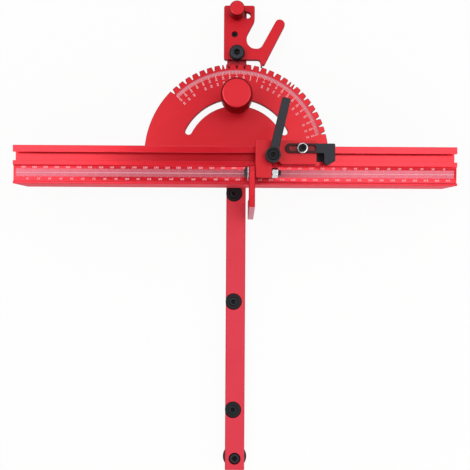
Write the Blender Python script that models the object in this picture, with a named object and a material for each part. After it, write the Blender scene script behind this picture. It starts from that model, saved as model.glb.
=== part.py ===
"""Miter gauge with an indexed protractor head, a fence and a flip stop.

Metres, Z up. The origin is on the swing axis of the head, on the underside of
the bar. Y runs along the bar towards the index lever, X runs along the fence.
"""

import math

import bmesh
import bpy
from mathutils import Matrix, Vector

# Clearances
PIECE_GAP = 0.0003
THREAD_CLEARANCE = 0.0003
SLOT_CLEARANCE = 0.0004

# Resolution of round forms
ROUND_SEGMENTS = 36
SMALL_SEGMENTS = 20
CHORD_ERROR = 0.00002
SLOT_END_STEPS = 6
ROUND_END = 0.98
KNOB_RIM_FULLNESS = 0.3

# Guide bar
BAR_LENGTH = 0.450
BAR_WIDTH = 0.0188
BAR_HEIGHT = 0.0095
BAR_REAR_REACH = 0.1456
BAR_CHAMFER = 0.0006

# Expansion discs that take up play in the table slot
DISC_COUNT = 3
DISC_FIRST_Y = -0.0356
DISC_LAST_FROM_END = 0.0588
DISC_DIAMETER = 0.0154
DISC_PROUD = 0.0002
DISC_SUNK = 0.0001
DISC_HEIGHT = 0.0065
DISC_CHAMFER = 0.0008
DISC_SCREW_DIAMETER = 0.005
DISC_SCREW_HEAD = 0.0078
DISC_SCREW_HEAD_HEIGHT = 0.003
DISC_SCREW_SOCKET = 0.004
DISC_SCREW_SOCKET_DEPTH = 0.0021

# Round foot that runs in the T slot of a table
FOOT_DIAMETER = 0.023
FOOT_THICKNESS = 0.0025
FOOT_LIFT = 0.0002
FOOT_FROM_END = 0.0114
FOOT_SCREW_DIAMETER = 0.004
FOOT_SCREW_HEAD = 0.0095
FOOT_SCREW_HEAD_HEIGHT = 0.004
FOOT_SCREW_SOCKET = 0.004
FOOT_SCREW_SOCKET_DEPTH = 0.0024
FOOT_COUNTERBORE = 0.0115

# Protractor plate
PLATE_THICKNESS = 0.006
PLATE_RADIUS = 0.0885
PLATE_FRONT_CORNER = 0.003
PLATE_ARC_STEP = 3.0
NOTCH_FIRST = -45
NOTCH_LAST = 75
NOTCH_STEP = 5
NOTCH_EXTRA = (-7.5, 37.5)
NOTCH_MOUTH = 0.0029
NOTCH_ROOT = 0.0009
NOTCH_DEPTH = 0.0043
NOTCH_CORNER = 0.0003

# Screw on which the head swings
PIVOT_HEAD = 0.013
PIVOT_HEAD_HEIGHT = 0.0026
PIVOT_SHOULDER = 0.009
PIVOT_THREAD = 0.006
PIVOT_HOLE_FLOOR = 0.0015
PIVOT_SOCKET = 0.005
PIVOT_SOCKET_DEPTH = 0.0021

# Knob that clamps the head, and the arc slot that its stud runs in
CLAMP_RADIUS = 0.0517
CLAMP_STUD = 0.006
CLAMP_SLOT_ANGLE = 63.0
CLAMP_SLOT_STEP = 5.0
CLAMP_KNOB_DIAMETER = 0.029
CLAMP_KNOB_BOTTOM = 0.032
CLAMP_KNOB_TOP = 0.059
CLAMP_KNOB_RIM = 0.0012
CLAMP_KNOB_SHOULDER = 0.0025
CLAMP_NECK_DIAMETER = 0.019
CLAMP_WASHER_DIAMETER = 0.022
CLAMP_WASHER_THICKNESS = 0.0012
STUD_FLOOR = 0.001
STUD_GRIP = 0.010

# Index lever on the rear of the bar, drawn with its pawl just out of the notches
INDEX_ANGLE = 15.0
INDEX_PIVOT_X = 0.0001
INDEX_PIVOT_Y = 0.0977
INDEX_SHOULDER = 0.0072
INDEX_THREAD = 0.006
INDEX_HEAD = 0.0148
INDEX_HEAD_HEIGHT = 0.008
INDEX_HEAD_CHAMFER = 0.0018
INDEX_SOCKET = 0.005
INDEX_SOCKET_DEPTH = 0.004
INDEX_LEFT = -0.0125
INDEX_TOP = 0.1445
INDEX_BOTTOM = 0.0925
INDEX_SHOULDER_X = 0.0170
INDEX_SLOPE_TOP = 0.1300
INDEX_SLOPE_END = 0.1156
INDEX_SLOPE_RADIUS = 0.009
INDEX_NECK_X = 0.0222
INDEX_NECK_RADIUS = 0.003
INDEX_HEEL = 0.0026
INDEX_CORNER = 0.002
THROAT_LEFT_X = 0.0094
THROAT_RIGHT_X = 0.0228
THROAT_Y = 0.1032
THROAT_RADIUS = 0.0084
THROAT_RIGHT_RADIUS = 0.006
FINGER_TIP_X = 0.0410
FINGER_TIP_Y = 0.1267
FINGER_RADIUS = 0.0047
FINGER_LEAN = 29.3
PAWL_LIFT = 5.5
PAWL_REACH = 0.002
PAWL_WIDTH = 0.0021
PAWL_TIP = 0.0010
PAWL_LEAN = 0.0001
KIDNEY_RADIUS = 0.0388
KIDNEY_START = -6.0
KIDNEY_END = 15.0
INDEX_STUD = 0.005
INDEX_SLOT_CLEARANCE = 0.0006
INDEX_STUD_ANGLE = -0.2
INDEX_KNOB_DIAMETER = 0.0143
INDEX_KNOB_BOTTOM = 0.018
INDEX_KNOB_TOP = 0.0334
INDEX_KNOB_RIM = 0.0008
INDEX_KNOB_SHOULDER = 0.0012
INDEX_KNOB_NECK = 0.0095
INDEX_STUD_GRIP = 0.008
SET_SCREW_X = -0.0022
SET_SCREW_Y = 0.1168
SET_SCREW_DIAMETER = 0.005
SET_SCREW_HEIGHT = 0.004
SET_SCREW_SOCKET = 0.0025
SET_SCREW_SOCKET_DEPTH = 0.002

# Fence extrusion
FENCE_LENGTH = 0.4005
FENCE_LEFT_REACH = 0.2014
FENCE_HEIGHT = 0.045
FENCE_DEPTH = 0.0348
FENCE_REAR = 0.0044
FENCE_WALL = 0.0022
FENCE_EDGE = 0.0005
FENCE_LIP_DEPTH = 0.004
FENCE_LIP_CLEARANCE = 0.0015
CHAMBER_CORNER = 0.0008

# T track in the top of the fence
TRACK_FROM_REAR = 0.010
TRACK_OPENING = 0.0077
TRACK_WIDTH = 0.013
TRACK_LIP = 0.0022
TRACK_DEPTH = 0.008

# Valley in the top of the fence that holds the rule
VALLEY_FROM_REAR = 0.0176
VALLEY_DEPTH = 0.002
VALLEY_REAR_SLOPE = 0.0012
VALLEY_FLOOR = 0.0135
VALLEY_FRONT_SLOPE = 0.0007

# Channel in the underside of the fence, with the screws and nuts that hold it
CHANNEL_FROM_REAR = 0.0164
CHANNEL_OPENING = 0.0065
CHANNEL_WIDTH = 0.011
CHANNEL_DEPTH = 0.0067
FENCE_SCREW_SPREAD = 0.055
FENCE_SCREW_DIAMETER = 0.005
FENCE_SCREW_HEAD = 0.0096
FENCE_SCREW_HEAD_HEIGHT = 0.0024
FENCE_SCREW_SOCKET = 0.003
FENCE_SCREW_SOCKET_DEPTH = 0.0019
FENCE_NUT_LENGTH = 0.012
FENCE_NUT_HEIGHT = 0.0038

# Carriage of the flip stop, on the fence
CARRIAGE_LEFT = 0.0170
CARRIAGE_RIGHT = 0.0710
CARRIAGE_REAR = 0.0083
CARRIAGE_FRONT = -0.0130
CARRIAGE_ARM_RIGHT = 0.0313
CARRIAGE_ARM_FRONT = -0.0248
CARRIAGE_THICKNESS = 0.0117
CARRIAGE_LIP_DROP = 0.006
CARRIAGE_RELIEF_RIGHT = 0.0403
CARRIAGE_RELIEF_DEPTH = 0.0024
CARRIAGE_CORNER = 0.0008
CARRIAGE_EDGE = 0.0004

# Slider in the T track
SLIDER_LEFT = 0.020
SLIDER_RIGHT = 0.080
SLIDER_HEIGHT = 0.0052
SLIDER_NECK_HEIGHT = 0.0021

# Lever that clamps the carriage
LEVER_X = 0.0319
LEVER_Y = -0.0058
LEVER_ANGLE = 12.6
LEVER_LENGTH = 0.0478
LEVER_HUB_DIAMETER = 0.0136
LEVER_HUB_HEIGHT = 0.0125
LEVER_ROOT_WIDTH = 0.0080
LEVER_TIP_WIDTH = 0.0073
LEVER_ROOT_DEPTH = 0.0072
LEVER_TIP_DEPTH = 0.006
LEVER_RISE = 0.0135
LEVER_EDGE = 0.0009
LEVER_EDGE_ROUNDNESS = 0.5
LEVER_STUD = 0.005
LEVER_STUD_GRIP = 0.0055
LEVER_SCREW_HEAD = 0.0092
LEVER_SCREW_HEIGHT = 0.004
LEVER_SCREW_SOCKET = 0.004
LEVER_SCREW_SOCKET_DEPTH = 0.0024
LEVER_POCKET_DEPTH = 0.0044

# Flip arm and its axle
AXLE_Y = -0.0202
AXLE_Z = 0.063
AXLE_DIAMETER = 0.005
AXLE_LENGTH = 0.030
AXLE_HEAD = 0.0102
AXLE_HEAD_HEIGHT = 0.0026
AXLE_SOCKET = 0.004
AXLE_SOCKET_DEPTH = 0.0018
WASHER_DIAMETER = 0.0124
WASHER_THICKNESS = 0.001
NUT_ACROSS_FLATS = 0.008
NUT_THICKNESS = 0.0055
NUT_EDGE = 0.0003
ARM_THICKNESS = 0.0054
ARM_EYE_RADIUS = 0.0066
ARM_TOP_FRONT = -0.052
ARM_LEG_REAR = -0.043
ARM_TOE_FRONT = -0.0612
ARM_TOE_Z = 0.013
ARM_CROWN_CORNER = 0.0025
ARM_INNER_CORNER = 0.005
ARM_TOE_CORNER = 0.001
ARM_EDGE = 0.0004

# Pointer that reads the rule, and its screw
POINTER_LEFT = 0.0431
POINTER_RIGHT = 0.0869
POINTER_AXIS_Y = 0.0009
POINTER_WIDTH = 0.0085
POINTER_THICKNESS = 0.0026
POINTER_SLOT_LEFT = 0.0465
POINTER_SLOT_RIGHT = 0.0702
POINTER_SLOT_WIDTH = 0.0048
POINTER_LEG_LEFT = 0.0772
POINTER_LEG_FRONT = -0.0112
POINTER_TIP_X = 0.0803
POINTER_TIP_Y = -0.0141
POINTER_TIP_RIGHT_Y = -0.0102
POINTER_LEG_CLEARANCE = 0.002
POINTER_CORNER = 0.0012
POINTER_TIP_CORNER = 0.001
POINTER_SCREW_X = 0.0580
POINTER_SCREW_DIAMETER = 0.004
POINTER_SCREW_DEPTH = 0.008
POINTER_SCREW_HEAD = 0.007
POINTER_SCREW_HEAD_HEIGHT = 0.004
POINTER_SCREW_SOCKET = 0.003
POINTER_SCREW_SOCKET_DEPTH = 0.002
POINTER_WASHER_DIAMETER = 0.009
POINTER_WASHER_THICKNESS = 0.001

# How far a cutter runs past the face that it opens
CUT_OVERRUN = 0.001
HEAD_BREAK = 0.0004

# Levels that follow from the sizes above
PLATE_BOTTOM = BAR_HEIGHT + PIECE_GAP
PLATE_TOP = PLATE_BOTTOM + PLATE_THICKNESS
FENCE_BOTTOM = BAR_HEIGHT + FENCE_LIP_CLEARANCE
FENCE_TOP = FENCE_BOTTOM + FENCE_HEIGHT
FENCE_SEAT = PLATE_TOP + PIECE_GAP
FENCE_FRONT = FENCE_REAR - FENCE_DEPTH
LIP_REAR = FENCE_FRONT + FENCE_LIP_DEPTH
PLATE_FRONT = LIP_REAR + PIECE_GAP
TRACK_Y = FENCE_REAR - TRACK_FROM_REAR
TRACK_FLOOR = FENCE_TOP - TRACK_DEPTH
CHANNEL_Y = FENCE_REAR - CHANNEL_FROM_REAR
CHANNEL_TOP = FENCE_SEAT + CHANNEL_DEPTH
CARRIAGE_BOTTOM = FENCE_TOP + PIECE_GAP
CARRIAGE_TOP = CARRIAGE_BOTTOM + CARRIAGE_THICKNESS
FOOT_Y = BAR_REAR_REACH - BAR_LENGTH + FOOT_FROM_END
DISC_X = DISC_DIAMETER / 2 - BAR_WIDTH / 2 - DISC_PROUD
DISC_TOP = BAR_HEIGHT - DISC_SUNK
INDEX_STUD_X = INDEX_PIVOT_X + KIDNEY_RADIUS * math.sin(math.radians(INDEX_STUD_ANGLE))
INDEX_STUD_Y = INDEX_PIVOT_Y + KIDNEY_RADIUS * math.cos(math.radians(INDEX_STUD_ANGLE))
ARM_RIGHT = CARRIAGE_LEFT - PIECE_GAP
ARM_LEFT = ARM_RIGHT - ARM_THICKNESS
POINTER_BOTTOM = CARRIAGE_TOP + PIECE_GAP
POINTER_TOP = POINTER_BOTTOM + POINTER_THICKNESS

# Colours as red, green, blue in linear light, then roughness and metallic
RED = (0.72, 0.035, 0.055, 1.0)
BLACK = (0.045, 0.047, 0.055, 1.0)
ZINC = (0.66, 0.66, 0.68, 1.0)
FINISHES = {
    "red_anodised": (RED, 0.38, 0.55),
    "black_oxide": (BLACK, 0.45, 0.6),
    "black_plastic": (BLACK, 0.6, 0.0),
    "zinc": (ZINC, 0.3, 1.0),
}

# Turns that lay a local Z axis along the world X axis
ALONG_X = Matrix.Rotation(math.radians(90.0), 4, "Y")
PROFILE_ALONG_X = Matrix(((0, 0, 1, 0), (1, 0, 0, 0), (0, 1, 0, 0), (0, 0, 0, 1)))


def clear_scene():
    """Remove every object that the scene starts with."""
    for scene_object in list(bpy.data.objects):
        bpy.data.objects.remove(scene_object, do_unlink=True)


def make_materials():
    """One Principled material for each finish."""
    materials = {}
    for name, (colour, roughness, metallic) in FINISHES.items():
        material = bpy.data.materials.new(name)
        material.use_nodes = True
        shader = material.node_tree.nodes["Principled BSDF"]
        shader.inputs["Base Color"].default_value = colour
        shader.inputs["Roughness"].default_value = roughness
        shader.inputs["Metallic"].default_value = metallic
        materials[name] = material
    return materials


def make_body(name, x=0.0, y=0.0, z=0.0, parent=None):
    """An empty on a joint axis, which carries the pieces that move together."""
    body = bpy.data.objects.new(name, None)
    bpy.context.scene.collection.objects.link(body)
    body.location = (x, y, z)
    if parent is not None:
        body.parent = parent
        body.location = Vector((x, y, z)) - world_place(parent)
    return body


def world_place(body):
    """World position of an empty, from its own place and its parents'."""
    place = body.location.copy()
    while body.parent is not None:
        body = body.parent
        place += body.location
    return place


def add_piece(name, solid, material, body, smooth=True):
    """Turn a solid in world coordinates into an object carried by a body."""
    solid.transform(Matrix.Translation(-world_place(body)))
    mesh = bpy.data.meshes.new(name)
    solid.to_mesh(mesh)
    solid.free()
    mesh.materials.append(material)
    if smooth:
        mesh.shade_smooth()
        mesh.set_sharp_from_angle(angle=math.radians(30.0))
    piece = bpy.data.objects.new(name, mesh)
    bpy.context.scene.collection.objects.link(piece)
    piece.parent = body
    return piece


def joined(solids):
    """One solid that holds all the given ones side by side."""
    whole = bmesh.new()
    for solid in solids:
        mesh = bpy.data.meshes.new("joined")
        solid.to_mesh(mesh)
        whole.from_mesh(mesh)
        bpy.data.meshes.remove(mesh)
        solid.free()
    return whole


def combine(piece, solids, operation):
    """Cut solids out of a piece, or join them to it, by a Boolean modifier."""
    tool = add_piece(piece.name + "_" + operation.lower(), joined(solids), piece.data.materials[0],
                     piece.parent, smooth=False)
    tool.hide_render = True
    tool.display_type = "WIRE"
    modifier = piece.modifiers.new(tool.name, "BOOLEAN")
    modifier.operation = operation
    modifier.solver = "EXACT"
    modifier.object = tool


def cut(piece, solids):
    """Cut solids out of a piece."""
    combine(piece, solids, "DIFFERENCE")


def break_edges(piece, width, segments=1):
    """Chamfer or round the sharp edges of a piece."""
    bevel = piece.modifiers.new("edges", "BEVEL")
    bevel.width = width
    bevel.segments = segments
    bevel.limit_method = "ANGLE"
    bevel.angle_limit = math.radians(40.0)
    bevel.use_clamp_overlap = True


def slab(outline, low, high, place=Matrix()):
    """Extrude a closed outline from a low level to a high one."""
    solid = bmesh.new()
    base = solid.faces.new([solid.verts.new((x, y, low)) for x, y in outline])
    grown = bmesh.ops.extrude_face_region(solid, geom=[base])
    raised = [item for item in grown["geom"] if isinstance(item, bmesh.types.BMVert)]
    bmesh.ops.translate(solid, verts=raised, vec=(0.0, 0.0, high - low))
    bmesh.ops.recalc_face_normals(solid, faces=solid.faces)
    solid.transform(place)
    return solid


def turned(profile, place=Matrix(), segments=ROUND_SEGMENTS):
    """Spin a profile of (radius, height) points about the local Z axis.

    A profile that starts and ends on the axis makes a full solid, and any
    other one is closed into a ring.
    """
    solid = bmesh.new()
    points = [solid.verts.new((radius, 0.0, height)) for radius, height in profile]
    edges = [solid.edges.new(pair) for pair in zip(points, points[1:])]
    if profile[0][0] > 0.0:
        edges.append(solid.edges.new((points[-1], points[0])))
    bmesh.ops.spin(solid, geom=points + edges, cent=(0.0, 0.0, 0.0), axis=(0.0, 0.0, 1.0),
                   angle=math.tau, steps=segments)
    bmesh.ops.remove_doubles(solid, verts=solid.verts, dist=0.000001)
    bmesh.ops.recalc_face_normals(solid, faces=solid.faces)
    solid.transform(place)
    return solid


def polar(radius, degrees, centre=(0.0, 0.0)):
    """Point at a radius and an angle counted clockwise from the Y axis."""
    angle = math.radians(degrees)
    return (centre[0] + radius * math.sin(angle), centre[1] + radius * math.cos(angle))


def rounded(corners):
    """Closed outline from (x, y, radius) corners, each with an arc of its radius."""
    outline = []
    for index, (x, y, radius) in enumerate(corners):
        corner = Vector((x, y))
        if radius <= 0.0:
            outline.append((x, y))
            continue
        before = (Vector(corners[index - 1][:2]) - corner).normalized()
        after = (Vector(corners[(index + 1) % len(corners)][:2]) - corner).normalized()
        half = before.angle(after) / 2
        centre = corner + (before + after).normalized() * radius / math.sin(half)
        start = corner + before * radius / math.tan(half) - centre
        turn = math.pi - 2 * half
        if before.x * after.y - before.y * after.x > 0.0:
            turn = -turn
        steps = max(2, math.ceil(abs(turn) / (2 * math.acos(1.0 - CHORD_ERROR / radius))))
        first = math.atan2(start.y, start.x)
        for step in range(steps + 1):
            angle = first + turn * step / steps
            outline.append((centre.x + radius * math.cos(angle), centre.y + radius * math.sin(angle)))
    return outline


def rectangle(left, bottom, right, top, radius=0.0):
    """Outline of a box with rounded corners."""
    return rounded([(left, bottom, radius), (right, bottom, radius),
                    (right, top, radius), (left, top, radius)])


def arc_slot(radius, width, start, end, centre=(0.0, 0.0)):
    """Outline of a slot along an arc, with round ends."""
    steps = max(2, math.ceil(abs(end - start) / CLAMP_SLOT_STEP))
    outline = []
    for step in range(steps + 1):
        outline.append(polar(radius + width / 2, start + (end - start) * step / steps, centre))
    outline += slot_end(polar(radius, end, centre), width / 2, end)
    for step in range(steps + 1):
        outline.append(polar(radius - width / 2, end + (start - end) * step / steps, centre))
    outline += slot_end(polar(radius, start, centre), width / 2, start + 180.0)
    return outline


def slot_end(centre, radius, heading):
    """Points of the half circle that closes a slot, without its two ends."""
    return [polar(radius, heading + 180.0 * step / SLOT_END_STEPS, centre)
            for step in range(1, SLOT_END_STEPS)]


def hexagon(across_flats):
    """Outline of a hexagon about the local Z axis."""
    return [polar(across_flats / math.sqrt(3.0), 60.0 * side) for side in range(6)]


def at(x, y, z=0.0):
    """Place on a vertical axis."""
    return Matrix.Translation((x, y, z))


def on_axle(x):
    """Place on the axle of the flip arm, with the local Z axis along X."""
    return Matrix.Translation((x, AXLE_Y, AXLE_Z)) @ ALONG_X


def screw_profile(head, head_height, shank, length, chamfer=HEAD_BREAK):
    """Turned profile of a screw whose head stands above level 0."""
    return [(0.0, -length), (shank / 2 - chamfer, -length), (shank / 2, chamfer - length), (shank / 2, 0.0),
            (head / 2, 0.0), (head / 2, head_height - chamfer), (head / 2 - chamfer, head_height),
            (0.0, head_height)]


def add_screw(name, profile, socket, socket_depth, place, material, body):
    """Turned screw with a hexagon socket cut into the top of its head."""
    top = profile[-1][1]
    screw = add_piece(name, turned(profile, place, SMALL_SEGMENTS), material, body)
    cut(screw, [slab(hexagon(socket), top - socket_depth, top + CUT_OVERRUN, place)])
    return screw


def ring_profile(inner, outer, low, high, chamfer=HEAD_BREAK / 2):
    """Turned profile of a washer with its outer edges broken."""
    return [(inner / 2, low), (outer / 2 - chamfer, low), (outer / 2, low + chamfer),
            (outer / 2, high - chamfer), (outer / 2 - chamfer, high), (inner / 2, high)]


def hole(diameter, low, high, place):
    """Round cutter from a low level to a high one."""
    return turned([(0.0, low), (diameter / 2, low), (diameter / 2, high), (0.0, high)], place, SMALL_SEGMENTS)


def stepped_hole(steps, place, segments=SMALL_SEGMENTS):
    """Round cutter of several diameters: (diameter, low, high) from the bottom up."""
    profile = [(0.0, steps[0][1])]
    for diameter, low, high in steps:
        profile += [(diameter / 2, low), (diameter / 2, high)]
    profile.append((0.0, steps[-1][2]))
    return turned(profile, place, segments)


def disc_places():
    """Y positions of the expansion discs, from the head to the front end."""
    last = BAR_REAR_REACH - BAR_LENGTH + DISC_LAST_FROM_END
    pitch = (last - DISC_FIRST_Y) / (DISC_COUNT - 1)
    return [DISC_FIRST_Y + pitch * index for index in range(DISC_COUNT)]


def build_bar(finishes, body):
    """Flat guide bar with its pockets and tapped holes."""
    front = BAR_REAR_REACH - BAR_LENGTH
    outline = rectangle(-BAR_WIDTH / 2, front, BAR_WIDTH / 2, BAR_REAR_REACH)
    bar = add_piece("miter_bar", slab(outline, 0.0, BAR_HEIGHT), finishes["red_anodised"], body, smooth=False)
    break_edges(bar, BAR_CHAMFER)
    over = BAR_HEIGHT + CUT_OVERRUN
    under = -CUT_OVERRUN
    pocket_floor = DISC_TOP - DISC_HEIGHT - PIECE_GAP
    pocket = [(DISC_SCREW_DIAMETER + 2 * THREAD_CLEARANCE, under, pocket_floor),
              (DISC_DIAMETER + 2 * PIECE_GAP, pocket_floor, over)]
    cutters = [stepped_hole(pocket, at(DISC_X, y), ROUND_SEGMENTS) for y in disc_places()]
    foot_recess = FOOT_LIFT + FOOT_THICKNESS + PIECE_GAP
    counterbore_floor = BAR_HEIGHT - FOOT_SCREW_HEAD_HEIGHT - 2 * PIECE_GAP
    foot = [(FOOT_DIAMETER + 2 * PIECE_GAP, under, foot_recess),
            (FOOT_SCREW_DIAMETER + 2 * THREAD_CLEARANCE, foot_recess, counterbore_floor),
            (FOOT_COUNTERBORE, counterbore_floor, over)]
    cutters.append(stepped_hole(foot, at(0.0, FOOT_Y), ROUND_SEGMENTS))
    cutters.append(hole(PIVOT_THREAD + 2 * THREAD_CLEARANCE, PIVOT_HOLE_FLOOR, over, at(0.0, 0.0)))
    cutters.append(hole(CLAMP_STUD + 2 * THREAD_CLEARANCE, under, over, at(0.0, CLAMP_RADIUS)))
    cutters.append(hole(INDEX_THREAD + 2 * THREAD_CLEARANCE, under, over, at(INDEX_PIVOT_X, INDEX_PIVOT_Y)))
    cutters.append(hole(INDEX_STUD + 2 * THREAD_CLEARANCE, under, over, at(INDEX_STUD_X, INDEX_STUD_Y)))
    cut(bar, cutters)


def build_discs(finishes, body):
    """Expansion discs in the left edge of the bar, each with its screw."""
    bottom = DISC_TOP - DISC_HEIGHT
    seat = DISC_TOP - DISC_SCREW_HEAD_HEIGHT - PIECE_GAP / 2
    bore = DISC_SCREW_DIAMETER + 2 * THREAD_CLEARANCE
    recess = DISC_SCREW_HEAD + 2 * PIECE_GAP
    radius = DISC_DIAMETER / 2
    ring = [(bore / 2, bottom), (radius, bottom), (radius, DISC_TOP - DISC_CHAMFER),
            (radius - DISC_CHAMFER, DISC_TOP), (recess / 2, DISC_TOP), (recess / 2, seat - PIECE_GAP),
            (bore / 2, seat - PIECE_GAP)]
    screw = screw_profile(DISC_SCREW_HEAD, DISC_SCREW_HEAD_HEIGHT, DISC_SCREW_DIAMETER, seat - STUD_FLOOR)
    for number, y in enumerate(disc_places(), start=1):
        add_piece(f"expansion_disc_{number}", turned(ring, at(DISC_X, y)), finishes["black_plastic"], body)
        add_screw(f"disc_screw_{number}", screw, DISC_SCREW_SOCKET, DISC_SCREW_SOCKET_DEPTH,
                  at(DISC_X, y, seat), finishes["black_oxide"], body)


def build_foot(finishes, body):
    """Round foot under the front end of the bar, with its screw from above."""
    bore = FOOT_SCREW_DIAMETER + 2 * THREAD_CLEARANCE
    ring = ring_profile(bore, FOOT_DIAMETER, FOOT_LIFT, FOOT_LIFT + FOOT_THICKNESS)
    add_piece("slot_foot", turned(ring, at(0.0, FOOT_Y)), finishes["black_oxide"], body)
    seat = BAR_HEIGHT - FOOT_SCREW_HEAD_HEIGHT - PIECE_GAP
    screw = screw_profile(FOOT_SCREW_HEAD, FOOT_SCREW_HEAD_HEIGHT, FOOT_SCREW_DIAMETER, seat - FOOT_LIFT)
    add_screw("slot_foot_screw", screw, FOOT_SCREW_SOCKET, FOOT_SCREW_SOCKET_DEPTH,
              at(0.0, FOOT_Y, seat), finishes["black_oxide"], body)


def build_pivots(finishes, body):
    """Shoulder screws on which the head and the index lever swing."""
    head_seat = PLATE_TOP - PIVOT_HEAD_HEIGHT
    shoulder_end = BAR_HEIGHT + PIECE_GAP
    head = [(0.0, PIVOT_HOLE_FLOOR + PIECE_GAP), (PIVOT_THREAD / 2, PIVOT_HOLE_FLOOR + PIECE_GAP),
            (PIVOT_THREAD / 2, shoulder_end), (PIVOT_SHOULDER / 2, shoulder_end),
            (PIVOT_SHOULDER / 2, head_seat), (PIVOT_HEAD / 2, head_seat),
            (PIVOT_HEAD / 2, PLATE_TOP - HEAD_BREAK),
            (PIVOT_HEAD / 2 - HEAD_BREAK, PLATE_TOP), (0.0, PLATE_TOP)]
    add_screw("pivot_screw", head, PIVOT_SOCKET, PIVOT_SOCKET_DEPTH, at(0.0, 0.0),
              finishes["black_oxide"], body)
    lever_seat = PLATE_TOP + PIECE_GAP
    top = lever_seat + INDEX_HEAD_HEIGHT
    radius = INDEX_HEAD / 2
    lever = [(0.0, STUD_FLOOR), (INDEX_THREAD / 2, STUD_FLOOR), (INDEX_THREAD / 2, shoulder_end),
             (INDEX_SHOULDER / 2, shoulder_end), (INDEX_SHOULDER / 2, lever_seat), (radius, lever_seat),
             (radius, top - INDEX_HEAD_CHAMFER), (radius - INDEX_HEAD_CHAMFER, top), (0.0, top)]
    add_screw("index_pivot_screw", lever, INDEX_SOCKET, INDEX_SOCKET_DEPTH,
              at(INDEX_PIVOT_X, INDEX_PIVOT_Y), finishes["black_oxide"], body)


def notch_angles():
    """Angles of the index notches, clockwise from the Y axis."""
    regular = [float(angle) for angle in range(NOTCH_FIRST, NOTCH_LAST + 1, NOTCH_STEP)]
    return sorted(regular + list(NOTCH_EXTRA))


def notch_corners(angle):
    """Corners of one notch, from its left mouth to its right one."""
    reach = math.degrees(NOTCH_MOUTH / 2 / PLATE_RADIUS)
    root_radius = PLATE_RADIUS - NOTCH_DEPTH
    root_reach = math.degrees(NOTCH_ROOT / 2 / root_radius)
    return [(*polar(PLATE_RADIUS, angle - reach), NOTCH_CORNER),
            (*polar(root_radius, angle - root_reach), 0.0), (*polar(root_radius, angle + root_reach), 0.0),
            (*polar(PLATE_RADIUS, angle + reach), NOTCH_CORNER)]


def plain_arc(start, end):
    """Corners along a plain stretch of the plate's arc, without its ends."""
    steps = math.ceil((end - start) / PLATE_ARC_STEP)
    angles = [start + (end - start) * step / steps for step in range(1, steps)]
    return [(*polar(PLATE_RADIUS, angle), 0.0) for angle in angles]


def protractor_outline():
    """Toothed arc between two plain ones, closed by a straight front edge."""
    edge_angle = math.degrees(math.acos(PLATE_FRONT / PLATE_RADIUS))
    front_x = PLATE_RADIUS * math.sin(math.radians(edge_angle))
    angles = notch_angles()
    corners = [(-front_x, PLATE_FRONT, PLATE_FRONT_CORNER)]
    corners += plain_arc(-edge_angle + PLATE_ARC_STEP, angles[0] - PLATE_ARC_STEP / 2)
    for angle in angles:
        corners += notch_corners(angle)
    corners += plain_arc(angles[-1] + PLATE_ARC_STEP / 2, edge_angle - PLATE_ARC_STEP)
    corners.append((front_x, PLATE_FRONT, PLATE_FRONT_CORNER))
    return rounded(corners)


def build_plate(finishes, body):
    """Protractor plate with index notches, arc slot and screw holes."""
    plate = add_piece("protractor_plate", slab(protractor_outline(), PLATE_BOTTOM, PLATE_TOP),
                      finishes["red_anodised"], body, smooth=False)
    low = PLATE_BOTTOM - CUT_OVERRUN
    high = PLATE_TOP + CUT_OVERRUN
    slot_width = CLAMP_STUD + 2 * SLOT_CLEARANCE
    slot = arc_slot(CLAMP_RADIUS, slot_width, -CLAMP_SLOT_ANGLE, CLAMP_SLOT_ANGLE)
    head_floor = PLATE_TOP - PIVOT_HEAD_HEIGHT - PIECE_GAP
    pivot = [(PIVOT_SHOULDER + 2 * PIECE_GAP, low, head_floor),
             (PIVOT_HEAD + 2 * PIECE_GAP, head_floor, high)]
    sunk = FENCE_SCREW_HEAD / 2 + PIECE_GAP
    bore = FENCE_SCREW_DIAMETER / 2 + THREAD_CLEARANCE
    straight = PLATE_BOTTOM + PIECE_GAP
    countersink = [(0.0, low), (sunk, low), (sunk, straight),
                   (bore, straight + FENCE_SCREW_HEAD_HEIGHT), (bore, high), (0.0, high)]
    cutters = [slab(slot, low, high), stepped_hole(pivot, at(0.0, 0.0), ROUND_SEGMENTS)]
    for side in (-1, 1):
        cutters.append(turned(countersink, at(side * FENCE_SCREW_SPREAD, CHANNEL_Y), SMALL_SEGMENTS))
    cut(plate, cutters)


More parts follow.
